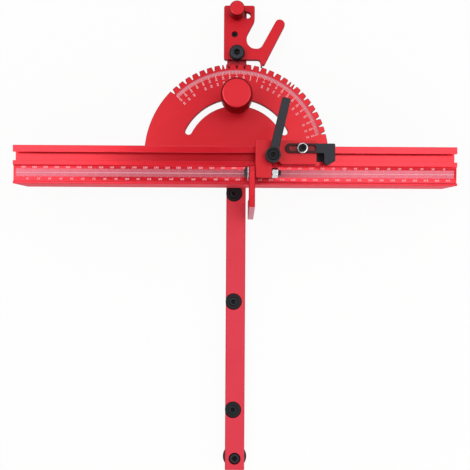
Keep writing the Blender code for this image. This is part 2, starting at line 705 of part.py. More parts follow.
def fence_outline():
    """Section of the fence as (y, z) corners, from the rear foot upwards."""
    edge = FENCE_EDGE
    half_opening = TRACK_OPENING / 2
    half_track = TRACK_WIDTH / 2
    lip = FENCE_TOP - TRACK_LIP
    valley = FENCE_REAR - VALLEY_FROM_REAR
    valley_floor = FENCE_TOP - VALLEY_DEPTH
    floor_rear = valley - VALLEY_REAR_SLOPE
    floor_front = floor_rear - VALLEY_FLOOR
    half_mouth = CHANNEL_OPENING / 2
    half_channel = CHANNEL_WIDTH / 2
    shelf = FENCE_SEAT + FENCE_WALL
    return [
        (FENCE_REAR, FENCE_SEAT), (FENCE_REAR, FENCE_TOP - edge), (FENCE_REAR - edge, FENCE_TOP),
        (TRACK_Y + half_opening, FENCE_TOP), (TRACK_Y + half_opening, lip), (TRACK_Y + half_track, lip),
        (TRACK_Y + half_track, TRACK_FLOOR), (TRACK_Y - half_track, TRACK_FLOOR), (TRACK_Y - half_track, lip),
        (TRACK_Y - half_opening, lip), (TRACK_Y - half_opening, FENCE_TOP), (valley, FENCE_TOP),
        (floor_rear, valley_floor), (floor_front, valley_floor),
        (floor_front - VALLEY_FRONT_SLOPE, FENCE_TOP), (FENCE_FRONT + edge, FENCE_TOP),
        (FENCE_FRONT, FENCE_TOP - edge), (FENCE_FRONT, FENCE_BOTTOM + edge),
        (FENCE_FRONT + edge, FENCE_BOTTOM), (LIP_REAR, FENCE_BOTTOM), (LIP_REAR, FENCE_SEAT),
        (CHANNEL_Y - half_mouth, FENCE_SEAT), (CHANNEL_Y - half_mouth, shelf),
        (CHANNEL_Y - half_channel, shelf), (CHANNEL_Y - half_channel, CHANNEL_TOP),
        (CHANNEL_Y + half_channel, CHANNEL_TOP), (CHANNEL_Y + half_channel, shelf),
        (CHANNEL_Y + half_mouth, shelf), (CHANNEL_Y + half_mouth, FENCE_SEAT),
    ]


def fence_chambers():
    """Hollows that run the length of the fence, as (front, bottom, rear, top)."""
    wall = FENCE_WALL
    front = FENCE_FRONT + wall
    rear = FENCE_REAR - wall
    web_front = FENCE_REAR - VALLEY_FROM_REAR - wall
    web_rear = web_front + wall
    waist = CHANNEL_TOP + wall
    shelf = FENCE_SEAT + wall
    channel_front = CHANNEL_Y - CHANNEL_WIDTH / 2 - wall
    channel_rear = CHANNEL_Y + CHANNEL_WIDTH / 2 + wall
    return [
        (front, waist, web_front, FENCE_TOP - VALLEY_DEPTH - wall),
        (web_rear, waist, rear, TRACK_FLOOR - wall),
        (front, shelf, channel_front, CHANNEL_TOP),
        (channel_rear, shelf, rear, CHANNEL_TOP),
    ]


def build_fence(finishes, body):
    """Fence extruded along X, with its chambers open at both ends."""
    left = -FENCE_LEFT_REACH
    right = left + FENCE_LENGTH
    fence = add_piece("fence", slab(fence_outline(), left, right, PROFILE_ALONG_X), finishes["red_anodised"],
                      body, smooth=False)
    cut(fence, [slab(rectangle(*chamber, CHAMBER_CORNER), left - CUT_OVERRUN, right + CUT_OVERRUN,
                     PROFILE_ALONG_X) for chamber in fence_chambers()])


def build_fence_fixings(finishes, body):
    """Countersunk screws from below the plate and the nuts in the fence channel."""
    shelf = FENCE_SEAT + FENCE_WALL
    nut_bottom = shelf + PIECE_GAP
    bore = FENCE_SCREW_DIAMETER + 2 * THREAD_CLEARANCE
    half_width = CHANNEL_WIDTH / 2 - PIECE_GAP
    shank = FENCE_SCREW_DIAMETER / 2
    rim = PLATE_BOTTOM + PIECE_GAP / 2
    screw = [(0.0, rim), (FENCE_SCREW_HEAD / 2, rim), (FENCE_SCREW_HEAD / 2, rim + PIECE_GAP / 2),
             (shank, rim + PIECE_GAP / 2 + FENCE_SCREW_HEAD_HEIGHT), (shank, nut_bottom + FENCE_NUT_HEIGHT),
             (0.0, nut_bottom + FENCE_NUT_HEIGHT)]
    for number, side in enumerate((-1, 1), start=1):
        x = side * FENCE_SCREW_SPREAD
        outline = rectangle(x - FENCE_NUT_LENGTH / 2, CHANNEL_Y - half_width, x + FENCE_NUT_LENGTH / 2,
                            CHANNEL_Y + half_width)
        nut = add_piece(f"fence_nut_{number}", slab(outline, nut_bottom, nut_bottom + FENCE_NUT_HEIGHT),
                        finishes["zinc"], body, smooth=False)
        cut(nut, [hole(bore, nut_bottom - CUT_OVERRUN, nut_bottom + FENCE_NUT_HEIGHT + CUT_OVERRUN,
                       at(x, CHANNEL_Y))])
        bolt = add_piece(f"fence_screw_{number}", turned(screw, at(x, CHANNEL_Y), SMALL_SEGMENTS),
                         finishes["black_oxide"], body)
        cut(bolt, [slab(hexagon(FENCE_SCREW_SOCKET), rim - CUT_OVERRUN, rim + FENCE_SCREW_SOCKET_DEPTH,
                        at(x, CHANNEL_Y))])


def knob_profile(diameter, neck, shoulder, seat, barrel_bottom, top, rim, bore, bore_top):
    """Turned profile of a knob: blind bore, neck, flared shoulder and barrel."""
    radius = diameter / 2
    full = rim * KNOB_RIM_FULLNESS
    return [(0.0, bore_top), (bore / 2, bore_top), (bore / 2, seat), (neck / 2, seat),
            (neck / 2, barrel_bottom - shoulder), (neck / 2 + shoulder, barrel_bottom),
            (radius - rim, barrel_bottom), (radius, barrel_bottom + rim), (radius, top - rim),
            (radius - full, top - full), (radius - rim, top), (0.0, top)]


def build_clamp_knob(finishes, body):
    """Large knob with its washer and the stud that runs in the arc slot."""
    axis = at(0.0, CLAMP_RADIUS)
    washer_bottom = PLATE_TOP + PIECE_GAP
    washer_top = washer_bottom + CLAMP_WASHER_THICKNESS
    seat = washer_top + PIECE_GAP
    bore = CLAMP_STUD + 2 * THREAD_CLEARANCE
    bore_top = seat + STUD_GRIP + PIECE_GAP
    profile = knob_profile(CLAMP_KNOB_DIAMETER, CLAMP_NECK_DIAMETER, CLAMP_KNOB_SHOULDER, seat,
                           CLAMP_KNOB_BOTTOM, CLAMP_KNOB_TOP, CLAMP_KNOB_RIM, bore, bore_top)
    add_piece("clamp_knob", turned(profile, axis), finishes["red_anodised"], body)
    washer = ring_profile(bore, CLAMP_WASHER_DIAMETER, washer_bottom, washer_top)
    add_piece("clamp_washer", turned(washer, axis), finishes["black_plastic"], body)
    stud = [(0.0, STUD_FLOOR), (CLAMP_STUD / 2, STUD_FLOOR), (CLAMP_STUD / 2, seat + STUD_GRIP),
            (0.0, seat + STUD_GRIP)]
    add_piece("clamp_stud", turned(stud, axis, SMALL_SEGMENTS), finishes["zinc"], body)


def lifted(radius, degrees):
    """Corner of the lever given with the pawl in its notch, after it is lifted out."""
    pivot = Vector((INDEX_PIVOT_X, INDEX_PIVOT_Y))
    place = pivot + Matrix.Rotation(math.radians(PAWL_LIFT), 2) @ (Vector(polar(radius, degrees)) - pivot)
    return (place.x, place.y, 0.0)


def pawl_points():
    """Corners from the heel over the pawl's tip to its left shoulder."""
    clear = PLATE_RADIUS + PIECE_GAP
    tip_radius = PLATE_RADIUS - PAWL_REACH
    heel = math.degrees(INDEX_HEEL / clear)
    base = math.degrees(PAWL_WIDTH / 2 / clear)
    lean = math.degrees(PAWL_LEAN / tip_radius)
    tip = math.degrees(PAWL_TIP / 2 / tip_radius)
    return [lifted(clear, INDEX_ANGLE + heel), lifted(clear, INDEX_ANGLE + base),
            lifted(tip_radius, INDEX_ANGLE - lean + tip), lifted(tip_radius, INDEX_ANGLE - lean - tip),
            lifted(clear, INDEX_ANGLE - base)]


def index_outline():
    """Outline of the index lever: block, finger gap, finger and pawl."""
    along = Vector(polar(1.0, FINGER_LEAN))
    across = Vector((along.y, -along.x))
    end = Vector((FINGER_TIP_X, FINGER_TIP_Y)) + along * FINGER_RADIUS
    left_end = end - across * FINGER_RADIUS
    right_end = end + across * FINGER_RADIUS
    fillet = FINGER_RADIUS * ROUND_END
    return rounded([
        (INDEX_LEFT, INDEX_TOP, INDEX_CORNER), (INDEX_SHOULDER_X, INDEX_TOP, INDEX_CORNER),
        (INDEX_SHOULDER_X, INDEX_SLOPE_TOP, INDEX_SLOPE_RADIUS),
        (THROAT_LEFT_X, INDEX_SLOPE_END, INDEX_SLOPE_RADIUS), (THROAT_LEFT_X, THROAT_Y, THROAT_RADIUS),
        (THROAT_RIGHT_X, THROAT_Y, THROAT_RIGHT_RADIUS),
        (left_end.x, left_end.y, fillet), (right_end.x, right_end.y, fillet), *pawl_points(),
        (INDEX_NECK_X, INDEX_BOTTOM, INDEX_NECK_RADIUS), (INDEX_LEFT, INDEX_BOTTOM, INDEX_CORNER),
    ])


def build_index_lever(finishes, body):
    """Index lever with its pivot bore, kidney slot and set screw."""
    pivot = (INDEX_PIVOT_X, INDEX_PIVOT_Y)
    lever = add_piece("index_lever", slab(index_outline(), PLATE_BOTTOM, PLATE_TOP), finishes["red_anodised"],
                      body, smooth=False)
    low = PLATE_BOTTOM - CUT_OVERRUN
    high = PLATE_TOP + CUT_OVERRUN
    kidney = arc_slot(KIDNEY_RADIUS, INDEX_STUD + 2 * INDEX_SLOT_CLEARANCE, KIDNEY_START, KIDNEY_END, pivot)
    cut(lever, [slab(kidney, low, high), hole(INDEX_SHOULDER + 2 * PIECE_GAP, low, high, at(*pivot)),
                hole(SET_SCREW_DIAMETER + 2 * THREAD_CLEARANCE, low, high, at(SET_SCREW_X, SET_SCREW_Y))])
    bottom = PLATE_BOTTOM + PIECE_GAP
    top = bottom + SET_SCREW_HEIGHT
    radius = SET_SCREW_DIAMETER / 2
    profile = [(0.0, bottom), (radius, bottom), (radius, top - HEAD_BREAK), (radius - HEAD_BREAK, top),
               (0.0, top)]
    add_screw("index_set_screw", profile, SET_SCREW_SOCKET, SET_SCREW_SOCKET_DEPTH,
              at(SET_SCREW_X, SET_SCREW_Y), finishes["black_oxide"], body)


def build_index_knob(finishes, body):
    """Small knob that locks the index lever, with its stud."""
    axis = at(INDEX_STUD_X, INDEX_STUD_Y)
    seat = PLATE_TOP + PIECE_GAP
    bore = INDEX_STUD + 2 * THREAD_CLEARANCE
    profile = knob_profile(INDEX_KNOB_DIAMETER, INDEX_KNOB_NECK, INDEX_KNOB_SHOULDER, seat, INDEX_KNOB_BOTTOM,
                           INDEX_KNOB_TOP, INDEX_KNOB_RIM, bore, seat + INDEX_STUD_GRIP + PIECE_GAP)
    add_piece("index_knob", turned(profile, axis), finishes["red_anodised"], body)
    stud = [(0.0, STUD_FLOOR), (INDEX_STUD / 2, STUD_FLOOR), (INDEX_STUD / 2, seat + INDEX_STUD_GRIP),
            (0.0, seat + INDEX_STUD_GRIP)]
    add_piece("index_stud", turned(stud, axis, SMALL_SEGMENTS), finishes["zinc"], body)


def carriage_outline():
    """L-shaped outline of the carriage, with the relief beside the axle nut."""
    corner = CARRIAGE_CORNER
    relief = CARRIAGE_FRONT + CARRIAGE_RELIEF_DEPTH
    return rounded([
        (CARRIAGE_LEFT, CARRIAGE_ARM_FRONT, corner), (CARRIAGE_ARM_RIGHT, CARRIAGE_ARM_FRONT, corner),
        (CARRIAGE_ARM_RIGHT, relief, corner), (CARRIAGE_RELIEF_RIGHT - CARRIAGE_RELIEF_DEPTH, relief, 0.0),
        (CARRIAGE_RELIEF_RIGHT, CARRIAGE_FRONT, 0.0), (CARRIAGE_RIGHT, CARRIAGE_FRONT, corner),
        (CARRIAGE_RIGHT, CARRIAGE_REAR, corner), (CARRIAGE_LEFT, CARRIAGE_REAR, corner),
    ])


def build_carriage(finishes, body):
    """Carriage with its rear guide lip, axle bore and screw holes."""
    carriage = add_piece("stop_carriage", slab(carriage_outline(), CARRIAGE_BOTTOM, CARRIAGE_TOP),
                         finishes["red_anodised"], body, smooth=False)
    break_edges(carriage, CARRIAGE_EDGE)
    inset = CARRIAGE_CORNER
    lip = rectangle(CARRIAGE_LEFT + inset, FENCE_REAR + PIECE_GAP, CARRIAGE_RIGHT - inset,
                    CARRIAGE_REAR - CARRIAGE_EDGE)
    middle = CARRIAGE_BOTTOM + CARRIAGE_THICKNESS / 2
    combine(carriage, [slab(lip, CARRIAGE_BOTTOM - CARRIAGE_LIP_DROP, middle)], "UNION")
    high = CARRIAGE_TOP + CUT_OVERRUN
    axle_bore = AXLE_DIAMETER + 2 * PIECE_GAP
    cut(carriage, [
        hole(LEVER_STUD + 2 * THREAD_CLEARANCE, CARRIAGE_BOTTOM - CUT_OVERRUN, high, at(LEVER_X, LEVER_Y)),
        hole(POINTER_SCREW_DIAMETER + 2 * THREAD_CLEARANCE, CARRIAGE_TOP - POINTER_SCREW_DEPTH - PIECE_GAP,
             high, at(POINTER_SCREW_X, POINTER_AXIS_Y)),
        hole(axle_bore, CARRIAGE_LEFT - CUT_OVERRUN, CARRIAGE_ARM_RIGHT + CUT_OVERRUN, on_axle(0.0)),
    ])


def build_slider(finishes, body):
    """T-shaped slider in the fence track, pulled up by the clamp lever."""
    half = TRACK_WIDTH / 2 - SLOT_CLEARANCE
    half_neck = TRACK_OPENING / 2 - PIECE_GAP
    low = TRACK_FLOOR + PIECE_GAP
    shoulder = low + SLIDER_HEIGHT
    top = shoulder + SLIDER_NECK_HEIGHT
    section = [(TRACK_Y - half, low), (TRACK_Y + half, low), (TRACK_Y + half, shoulder),
               (TRACK_Y + half_neck, shoulder), (TRACK_Y + half_neck, top), (TRACK_Y - half_neck, top),
               (TRACK_Y - half_neck, shoulder), (TRACK_Y - half, shoulder)]
    slider = add_piece("track_slider", slab(section, SLIDER_LEFT, SLIDER_RIGHT, PROFILE_ALONG_X),
                       finishes["black_oxide"], body, smooth=False)
    cut(slider, [hole(LEVER_STUD + 2 * THREAD_CLEARANCE, low - CUT_OVERRUN, top + CUT_OVERRUN,
                      at(LEVER_X, LEVER_Y))])


def lever_bar():
    """Rising, tapered bar of the clamp lever, from its hub axis to its tip."""
    hub_bottom = CARRIAGE_TOP + PIECE_GAP
    root_top = hub_bottom + LEVER_HUB_HEIGHT - LEVER_EDGE
    root_bottom = root_top - LEVER_ROOT_DEPTH
    knee = LEVER_HUB_DIAMETER / 2
    tip_top = root_top + LEVER_RISE
    side = [(0.0, root_bottom), (knee, root_bottom + LEVER_EDGE), (LEVER_LENGTH, tip_top - LEVER_TIP_DEPTH),
            (LEVER_LENGTH, tip_top - LEVER_EDGE), (LEVER_LENGTH - LEVER_EDGE, tip_top),
            (knee, root_top + LEVER_EDGE), (0.0, root_top)]
    lay = Matrix(((1, 0, 0, 0), (0, 0, 1, 0), (0, 1, 0, 0), (0, 0, 0, 1)))
    solid = slab(side, -1.0, 1.0, lay)
    for vert in solid.verts:
        width = LEVER_ROOT_WIDTH + (LEVER_TIP_WIDTH - LEVER_ROOT_WIDTH) * vert.co.x / LEVER_LENGTH
        vert.co.y *= width / 2
    bmesh.ops.recalc_face_normals(solid, faces=solid.faces)
    rim = [edge for edge in solid.edges if abs(edge.verts[0].co.y - edge.verts[1].co.y) < LEVER_EDGE]
    bmesh.ops.bevel(solid, geom=rim, offset=LEVER_EDGE, segments=2, profile=LEVER_EDGE_ROUNDNESS,
                    affect="EDGES")
    turn = Matrix.Rotation(math.radians(90.0 - LEVER_ANGLE), 4, "Z")
    solid.transform(Matrix.Translation((LEVER_X, LEVER_Y, 0.0)) @ turn)
    return solid


def build_clamp_lever(finishes, body):
    """Clamp lever with its hub, its cap screw and the stud into the slider."""
    place = at(LEVER_X, LEVER_Y)
    bottom = CARRIAGE_TOP + PIECE_GAP
    top = bottom + LEVER_HUB_HEIGHT
    radius = LEVER_HUB_DIAMETER / 2
    hub = [(0.0, bottom), (radius - LEVER_EDGE, bottom), (radius, bottom + LEVER_EDGE),
           (radius, top - LEVER_EDGE), (radius - LEVER_EDGE, top), (0.0, top)]
    lever = add_piece("clamp_lever", turned(hub, place), finishes["black_plastic"], body)
    combine(lever, [lever_bar()], "UNION")
    pocket_floor = top - LEVER_POCKET_DEPTH
    bore = LEVER_STUD + 2 * THREAD_CLEARANCE
    bore_top = bottom + LEVER_STUD_GRIP + PIECE_GAP
    cut(lever, [hole(bore, bottom - CUT_OVERRUN, bore_top, place),
                hole(LEVER_SCREW_HEAD + 2 * PIECE_GAP, pocket_floor, top + LEVER_RISE, place)])
    head_bottom = pocket_floor + PIECE_GAP
    head = [(0.0, 0.0), (LEVER_SCREW_HEAD / 2, 0.0), (LEVER_SCREW_HEAD / 2, LEVER_SCREW_HEIGHT - HEAD_BREAK),
            (LEVER_SCREW_HEAD / 2 - HEAD_BREAK, LEVER_SCREW_HEIGHT), (0.0, LEVER_SCREW_HEIGHT)]
    add_screw("clamp_lever_screw", head, LEVER_SCREW_SOCKET, LEVER_SCREW_SOCKET_DEPTH,
              at(LEVER_X, LEVER_Y, head_bottom), finishes["black_oxide"], body)
    stud_bottom = TRACK_FLOOR + 2 * PIECE_GAP
    stud = [(0.0, stud_bottom), (LEVER_STUD / 2, stud_bottom), (LEVER_STUD / 2, bottom + LEVER_STUD_GRIP),
            (0.0, bottom + LEVER_STUD_GRIP)]
    add_piece("clamp_lever_stud", turned(stud, place, SMALL_SEGMENTS), finishes["zinc"], body)


def build_axle(finishes, body):
    """Axle screw, washer and nut that carry the flip arm."""
    washer_left = ARM_LEFT - PIECE_GAP - WASHER_THICKNESS
    head_right = washer_left - PIECE_GAP
    screw = screw_profile(AXLE_HEAD, AXLE_HEAD_HEIGHT, AXLE_DIAMETER, AXLE_LENGTH, HEAD_BREAK)
    face_left = on_axle(head_right) @ Matrix.Rotation(math.pi, 4, "X")
    add_screw("axle_screw", screw, AXLE_SOCKET, AXLE_SOCKET_DEPTH, face_left, finishes["black_oxide"], body)
    bore = AXLE_DIAMETER + 2 * PIECE_GAP
    washer = ring_profile(bore, WASHER_DIAMETER, 0.0, WASHER_THICKNESS)
    add_piece("axle_washer", turned(washer, on_axle(washer_left), SMALL_SEGMENTS), finishes["zinc"], body)
    nut_left = CARRIAGE_ARM_RIGHT + PIECE_GAP
    nut = add_piece("axle_nut", slab(hexagon(NUT_ACROSS_FLATS), 0.0, NUT_THICKNESS, on_axle(nut_left)),
                    finishes["zinc"], body, smooth=False)
    break_edges(nut, NUT_EDGE)
    cut(nut, [hole(bore, -CUT_OVERRUN, NUT_THICKNESS + CUT_OVERRUN, on_axle(nut_left))])


def build_flip_arm(finishes, body):
    """Flip arm cut from plate: eye, crown, leg and toe, in the (y, z) plane."""
    eye_bottom = AXLE_Z - ARM_EYE_RADIUS
    eye_top = AXLE_Z + ARM_EYE_RADIUS
    eye_rear = AXLE_Y + ARM_EYE_RADIUS
    eye = ARM_EYE_RADIUS * ROUND_END
    outline = rounded([
        (eye_rear, eye_bottom, eye), (eye_rear, eye_top, eye), (ARM_TOP_FRONT, eye_top, ARM_CROWN_CORNER),
        (ARM_TOE_FRONT, ARM_TOE_Z, ARM_TOE_CORNER), (ARM_LEG_REAR, ARM_TOE_Z, ARM_TOE_CORNER),
        (ARM_LEG_REAR, eye_bottom, ARM_INNER_CORNER),
    ])
    arm = add_piece("flip_arm", slab(outline, ARM_LEFT, ARM_RIGHT, PROFILE_ALONG_X), finishes["red_anodised"],
                    body, smooth=False)
    break_edges(arm, ARM_EDGE)
    cut(arm, [hole(AXLE_DIAMETER + 2 * PIECE_GAP, ARM_LEFT - CUT_OVERRUN, ARM_RIGHT + CUT_OVERRUN,
                   on_axle(0.0))])


def build_pointer(finishes, body):
    """Pointer plate with its long slot and the leg that drops to the rule."""
    rear = POINTER_AXIS_Y + POINTER_WIDTH / 2
    front = POINTER_AXIS_Y - POINTER_WIDTH / 2
    end = POINTER_WIDTH / 2 * ROUND_END
    blade = rounded([
        (POINTER_LEFT, front, end), (POINTER_LEG_LEFT, front, POINTER_CORNER),
        (POINTER_LEG_LEFT, POINTER_LEG_FRONT, 0.0), (POINTER_TIP_X, POINTER_TIP_Y, POINTER_TIP_CORNER),
        (POINTER_RIGHT, POINTER_TIP_RIGHT_Y, POINTER_CORNER), (POINTER_RIGHT, rear, POINTER_CORNER),
        (POINTER_LEFT, rear, end),
    ])
    pointer = add_piece("scale_pointer", slab(blade, POINTER_BOTTOM, POINTER_TOP), finishes["black_plastic"],
                        body, smooth=False)
    inset = HEAD_BREAK
    leg = rounded([
        (POINTER_LEG_LEFT + inset, rear - inset, 0.0), (POINTER_LEG_LEFT + inset, POINTER_LEG_FRONT, 0.0),
        (POINTER_TIP_X, POINTER_TIP_Y + inset, 0.0), (POINTER_RIGHT - inset, POINTER_TIP_RIGHT_Y, 0.0),
        (POINTER_RIGHT - inset, rear - inset, 0.0),
    ])
    combine(pointer, [slab(leg, FENCE_TOP + POINTER_LEG_CLEARANCE, POINTER_BOTTOM + POINTER_THICKNESS / 2)],
            "UNION")
    half = POINTER_SLOT_WIDTH / 2
    slot = rectangle(POINTER_SLOT_LEFT, POINTER_AXIS_Y - half, POINTER_SLOT_RIGHT, POINTER_AXIS_Y + half,
                     half * ROUND_END)
    cut(pointer, [slab(slot, POINTER_BOTTOM - CUT_OVERRUN, POINTER_TOP + CUT_OVERRUN)])


def build_pointer_screw(finishes, body):
    """Cap screw and washer that hold the pointer on the carriage."""
    place = at(POINTER_SCREW_X, POINTER_AXIS_Y)
    washer_bottom = POINTER_TOP + PIECE_GAP
    washer_top = washer_bottom + POINTER_WASHER_THICKNESS
    bore = POINTER_SCREW_DIAMETER + 2 * THREAD_CLEARANCE
    washer = ring_profile(bore, POINTER_WASHER_DIAMETER, washer_bottom, washer_top)
    add_piece("pointer_washer", turned(washer, place, SMALL_SEGMENTS), finishes["zinc"], body)
    seat = washer_top + PIECE_GAP
    length = seat - CARRIAGE_TOP + POINTER_SCREW_DEPTH
    screw = screw_profile(POINTER_SCREW_HEAD, POINTER_SCREW_HEAD_HEIGHT, POINTER_SCREW_DIAMETER, length)
    add_screw("pointer_screw", screw, POINTER_SCREW_SOCKET, POINTER_SCREW_SOCKET_DEPTH,
              at(POINTER_SCREW_X, POINTER_AXIS_Y, seat), finishes["black_oxide"], body)


def main():
    """Build every body of the gauge with its pieces."""
    clear_scene()
    finishes = make_materials()
    bar = make_body("bar_body")
    build_bar(finishes, bar)
    build_discs(finishes, bar)
    build_foot(finishes, bar)
    build_pivots(finishes, bar)
    head = make_body("head_body", parent=bar)
    build_plate(finishes, head)
    build_fence(finishes, head)
    build_fence_fixings(finishes, head)
    build_clamp_knob(finishes, make_body("clamp_knob_body", 0.0, CLAMP_RADIUS, PLATE_TOP, bar))
    lever = make_body("index_lever_body", INDEX_PIVOT_X, INDEX_PIVOT_Y, PLATE_BOTTOM, bar)
    build_index_lever(finishes, lever)
    build_index_knob(finishes, make_body("index_knob_body", INDEX_STUD_X, INDEX_STUD_Y, PLATE_TOP, bar))
    carriage = make_body("carriage_body", CARRIAGE_LEFT, TRACK_Y, CARRIAGE_BOTTOM, head)
    build_carriage(finishes, carriage)
    build_slider(finishes, carriage)
    build_axle(finishes, carriage)
    build_pointer_screw(finishes, carriage)
    build_clamp_lever(finishes, make_body("clamp_lever_body", LEVER_X, LEVER_Y, CARRIAGE_TOP, carriage))
    build_flip_arm(finishes, make_body("flip_arm_body", ARM_LEFT, AXLE_Y, AXLE_Z, carriage))
    pointer = make_body("pointer_body", POINTER_SCREW_X, POINTER_AXIS_Y, POINTER_BOTTOM, carriage)
    build_pointer(finishes, pointer)


main()
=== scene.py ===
"""Looks of a red miter gauge: finishes, engraved scales and fine surfaces.

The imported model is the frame. Lengths are metres, Z is up, Y runs along the guide
bar towards the index lever, and X runs along the fence.
"""

import logging
import math
from collections.abc import Sequence
from dataclasses import dataclass, replace
from enum import Enum
from functools import cache
from typing import Any

import bmesh
import bpy
import numpy as np
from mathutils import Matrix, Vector


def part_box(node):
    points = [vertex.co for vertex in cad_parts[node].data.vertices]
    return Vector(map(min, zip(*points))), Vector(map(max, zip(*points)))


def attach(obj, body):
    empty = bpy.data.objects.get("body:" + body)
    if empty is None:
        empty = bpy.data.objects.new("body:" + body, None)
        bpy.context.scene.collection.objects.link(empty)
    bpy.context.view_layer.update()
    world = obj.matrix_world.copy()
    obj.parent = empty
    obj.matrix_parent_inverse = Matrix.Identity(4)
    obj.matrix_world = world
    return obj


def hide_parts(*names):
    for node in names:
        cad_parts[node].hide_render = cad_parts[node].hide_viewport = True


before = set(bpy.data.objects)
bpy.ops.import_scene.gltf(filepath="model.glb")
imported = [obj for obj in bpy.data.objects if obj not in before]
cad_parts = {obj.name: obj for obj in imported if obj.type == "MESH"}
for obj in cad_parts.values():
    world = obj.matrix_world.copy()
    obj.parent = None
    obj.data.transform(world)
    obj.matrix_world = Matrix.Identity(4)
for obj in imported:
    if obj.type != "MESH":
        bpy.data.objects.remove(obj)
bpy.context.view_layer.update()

LOG = logging.getLogger("miter_gauge")
Colour = tuple[float, float, float]

# Points closer than this are one point
MERGE_DISTANCE = 1e-7
COPY_MERGE_DISTANCE = 1e-6

# Fineness of turned and rounded surfaces
ROUND_STEPS = 96
SMALL_ROUND_STEPS = 48
CORNER_STEPS = 4
NUT_CONE_ROWS = 6
THREAD_ROWS = 10

# Size of a normal's Z below which a face is upright, or at least sloping
UPRIGHT = 0.35
SLOPING = 0.97

# Faces that meet at less than this are one flat face
FLAT_ANGLE = math.radians(0.5)

# Degrees between a zero mark and the mark square to it
RIGHT_ANGLE = 90

# Engraved ink: height above the metal, depth in it, and shares of a numeral's height
INK_RISE = 0.00002
INK_ROOT = 0.00004
FONT_SIZE_FOR_HEIGHT = 1.38
NUMERAL_GAP = 0.22
NUMERAL_CURVE_STEPS = 3

# Tool marks: waves of the lathe's rings, their share, and the middle share of the darker tone
RING_WAVES = 2400.0
RING_SHARE = 0.75
MIDDLE_SHADE = 0.35

# Small shapes of screws and nuts
SCREW_CHAMFER = 0.00025
SOCKET_CHAMFER = 0.0003
SOCKET_CONE = 0.35
NUT_CONE_DEPTH = 0.0009
NUT_FACE_SHARE = 0.94

# Triangles of a block whose corners are numbered round the bottom and then round the top
BLOCK_CORNERS = 8
BLOCK_TRIANGLES = np.array((
    (0, 2, 1), (0, 3, 2), (4, 5, 6), (4, 6, 7), (0, 1, 5), (0, 5, 4),
    (1, 2, 6), (1, 6, 5), (2, 3, 7), (2, 7, 6), (3, 0, 4), (3, 4, 7),
))

# Floor: how far the camera sees plain white there, and its colour in the light
FLOOR_GLOW = 0.93
FLOOR_COLOUR = (0.8, 0.8, 0.8)
WHITE = (1.0, 1.0, 1.0, 1.0)


class Slot(Enum):
    """Material slots of the record."""

    RED = "red_anodised"
    OXIDE = "black_oxide"
    MOULDED = "black_plastic"
    ZINC = "zinc"


class Body(Enum):
    """Bodies that move as one."""

    BAR = "bar"
    HEAD = "head"
    CLAMP_KNOB = "clamp_knob"
    INDEX_LEVER = "index_lever"
    INDEX_KNOB = "index_knob"
    CARRIAGE = "carriage"
    CLAMP_LEVER = "clamp_lever"
    FLIP_ARM = "flip_arm"
    POINTER = "pointer"


class Lay(Enum):
    """Waves per metre along X, Y and Z of the marks that a tool left."""

    BLASTED = (2600.0, 2600.0, 2600.0)
    ALONG_X = (60.0, 3200.0, 3200.0)
    ALONG_Y = (3200.0, 60.0, 3200.0)


def linear(steps: Colour) -> Colour:
    """Linear light of a colour whose channels are display steps from 0 to 255."""
    share = np.array(steps) / 255.0
    return tuple(np.where(share <= 0.04045, share / 12.92, ((share + 0.055) / 1.055) ** 2.4).tolist())


class Value:
    """A shader socket that takes part in Python expressions."""

    def __init__(self, recipe: "Recipe", socket: bpy.types.NodeSocket) -> None:
        """Keep the socket and the recipe that an expression adds its nodes to."""
        self.recipe = recipe
        self.socket = socket

    def _math(self, operation: str, *terms: Any) -> "Value":
        """Result of one Math node, whose inputs are the terms in order."""
        node = self.recipe.node("Math", {"operation": operation}, dict(enumerate(terms)))
        return Value(self.recipe, node.outputs[0])

    def clamped(self, low: float = 0.0, high: float = 1.0) -> "Value":
        """Value held between two limits."""
        return self._math("MINIMUM", self._math("MAXIMUM", self, low), high)

    def __add__(self, other: Any) -> "Value":
        """Sum."""
        return self._math("ADD", self, other)

    def __radd__(self, other: Any) -> "Value":
        """Sum with the other term in front."""
        return self._math("ADD", other, self)

    def __sub__(self, other: Any) -> "Value":
        """Difference."""
        return self._math("SUBTRACT", self, other)

    def __rsub__(self, other: Any) -> "Value":
        """Difference with the other term in front."""
        return self._math("SUBTRACT", other, self)

    def __mul__(self, other: Any) -> "Value":
        """Product."""
        return self._math("MULTIPLY", self, other)

    def __rmul__(self, other: Any) -> "Value":
        """Product with the other term in front."""
        return self._math("MULTIPLY", other, self)

    def __pow__(self, other: Any) -> "Value":
        """Power."""
        return self._math("POWER", self, other)

    def __rpow__(self, other: Any) -> "Value":
        """Power with the other term in front."""
        return self._math("POWER", other, self)


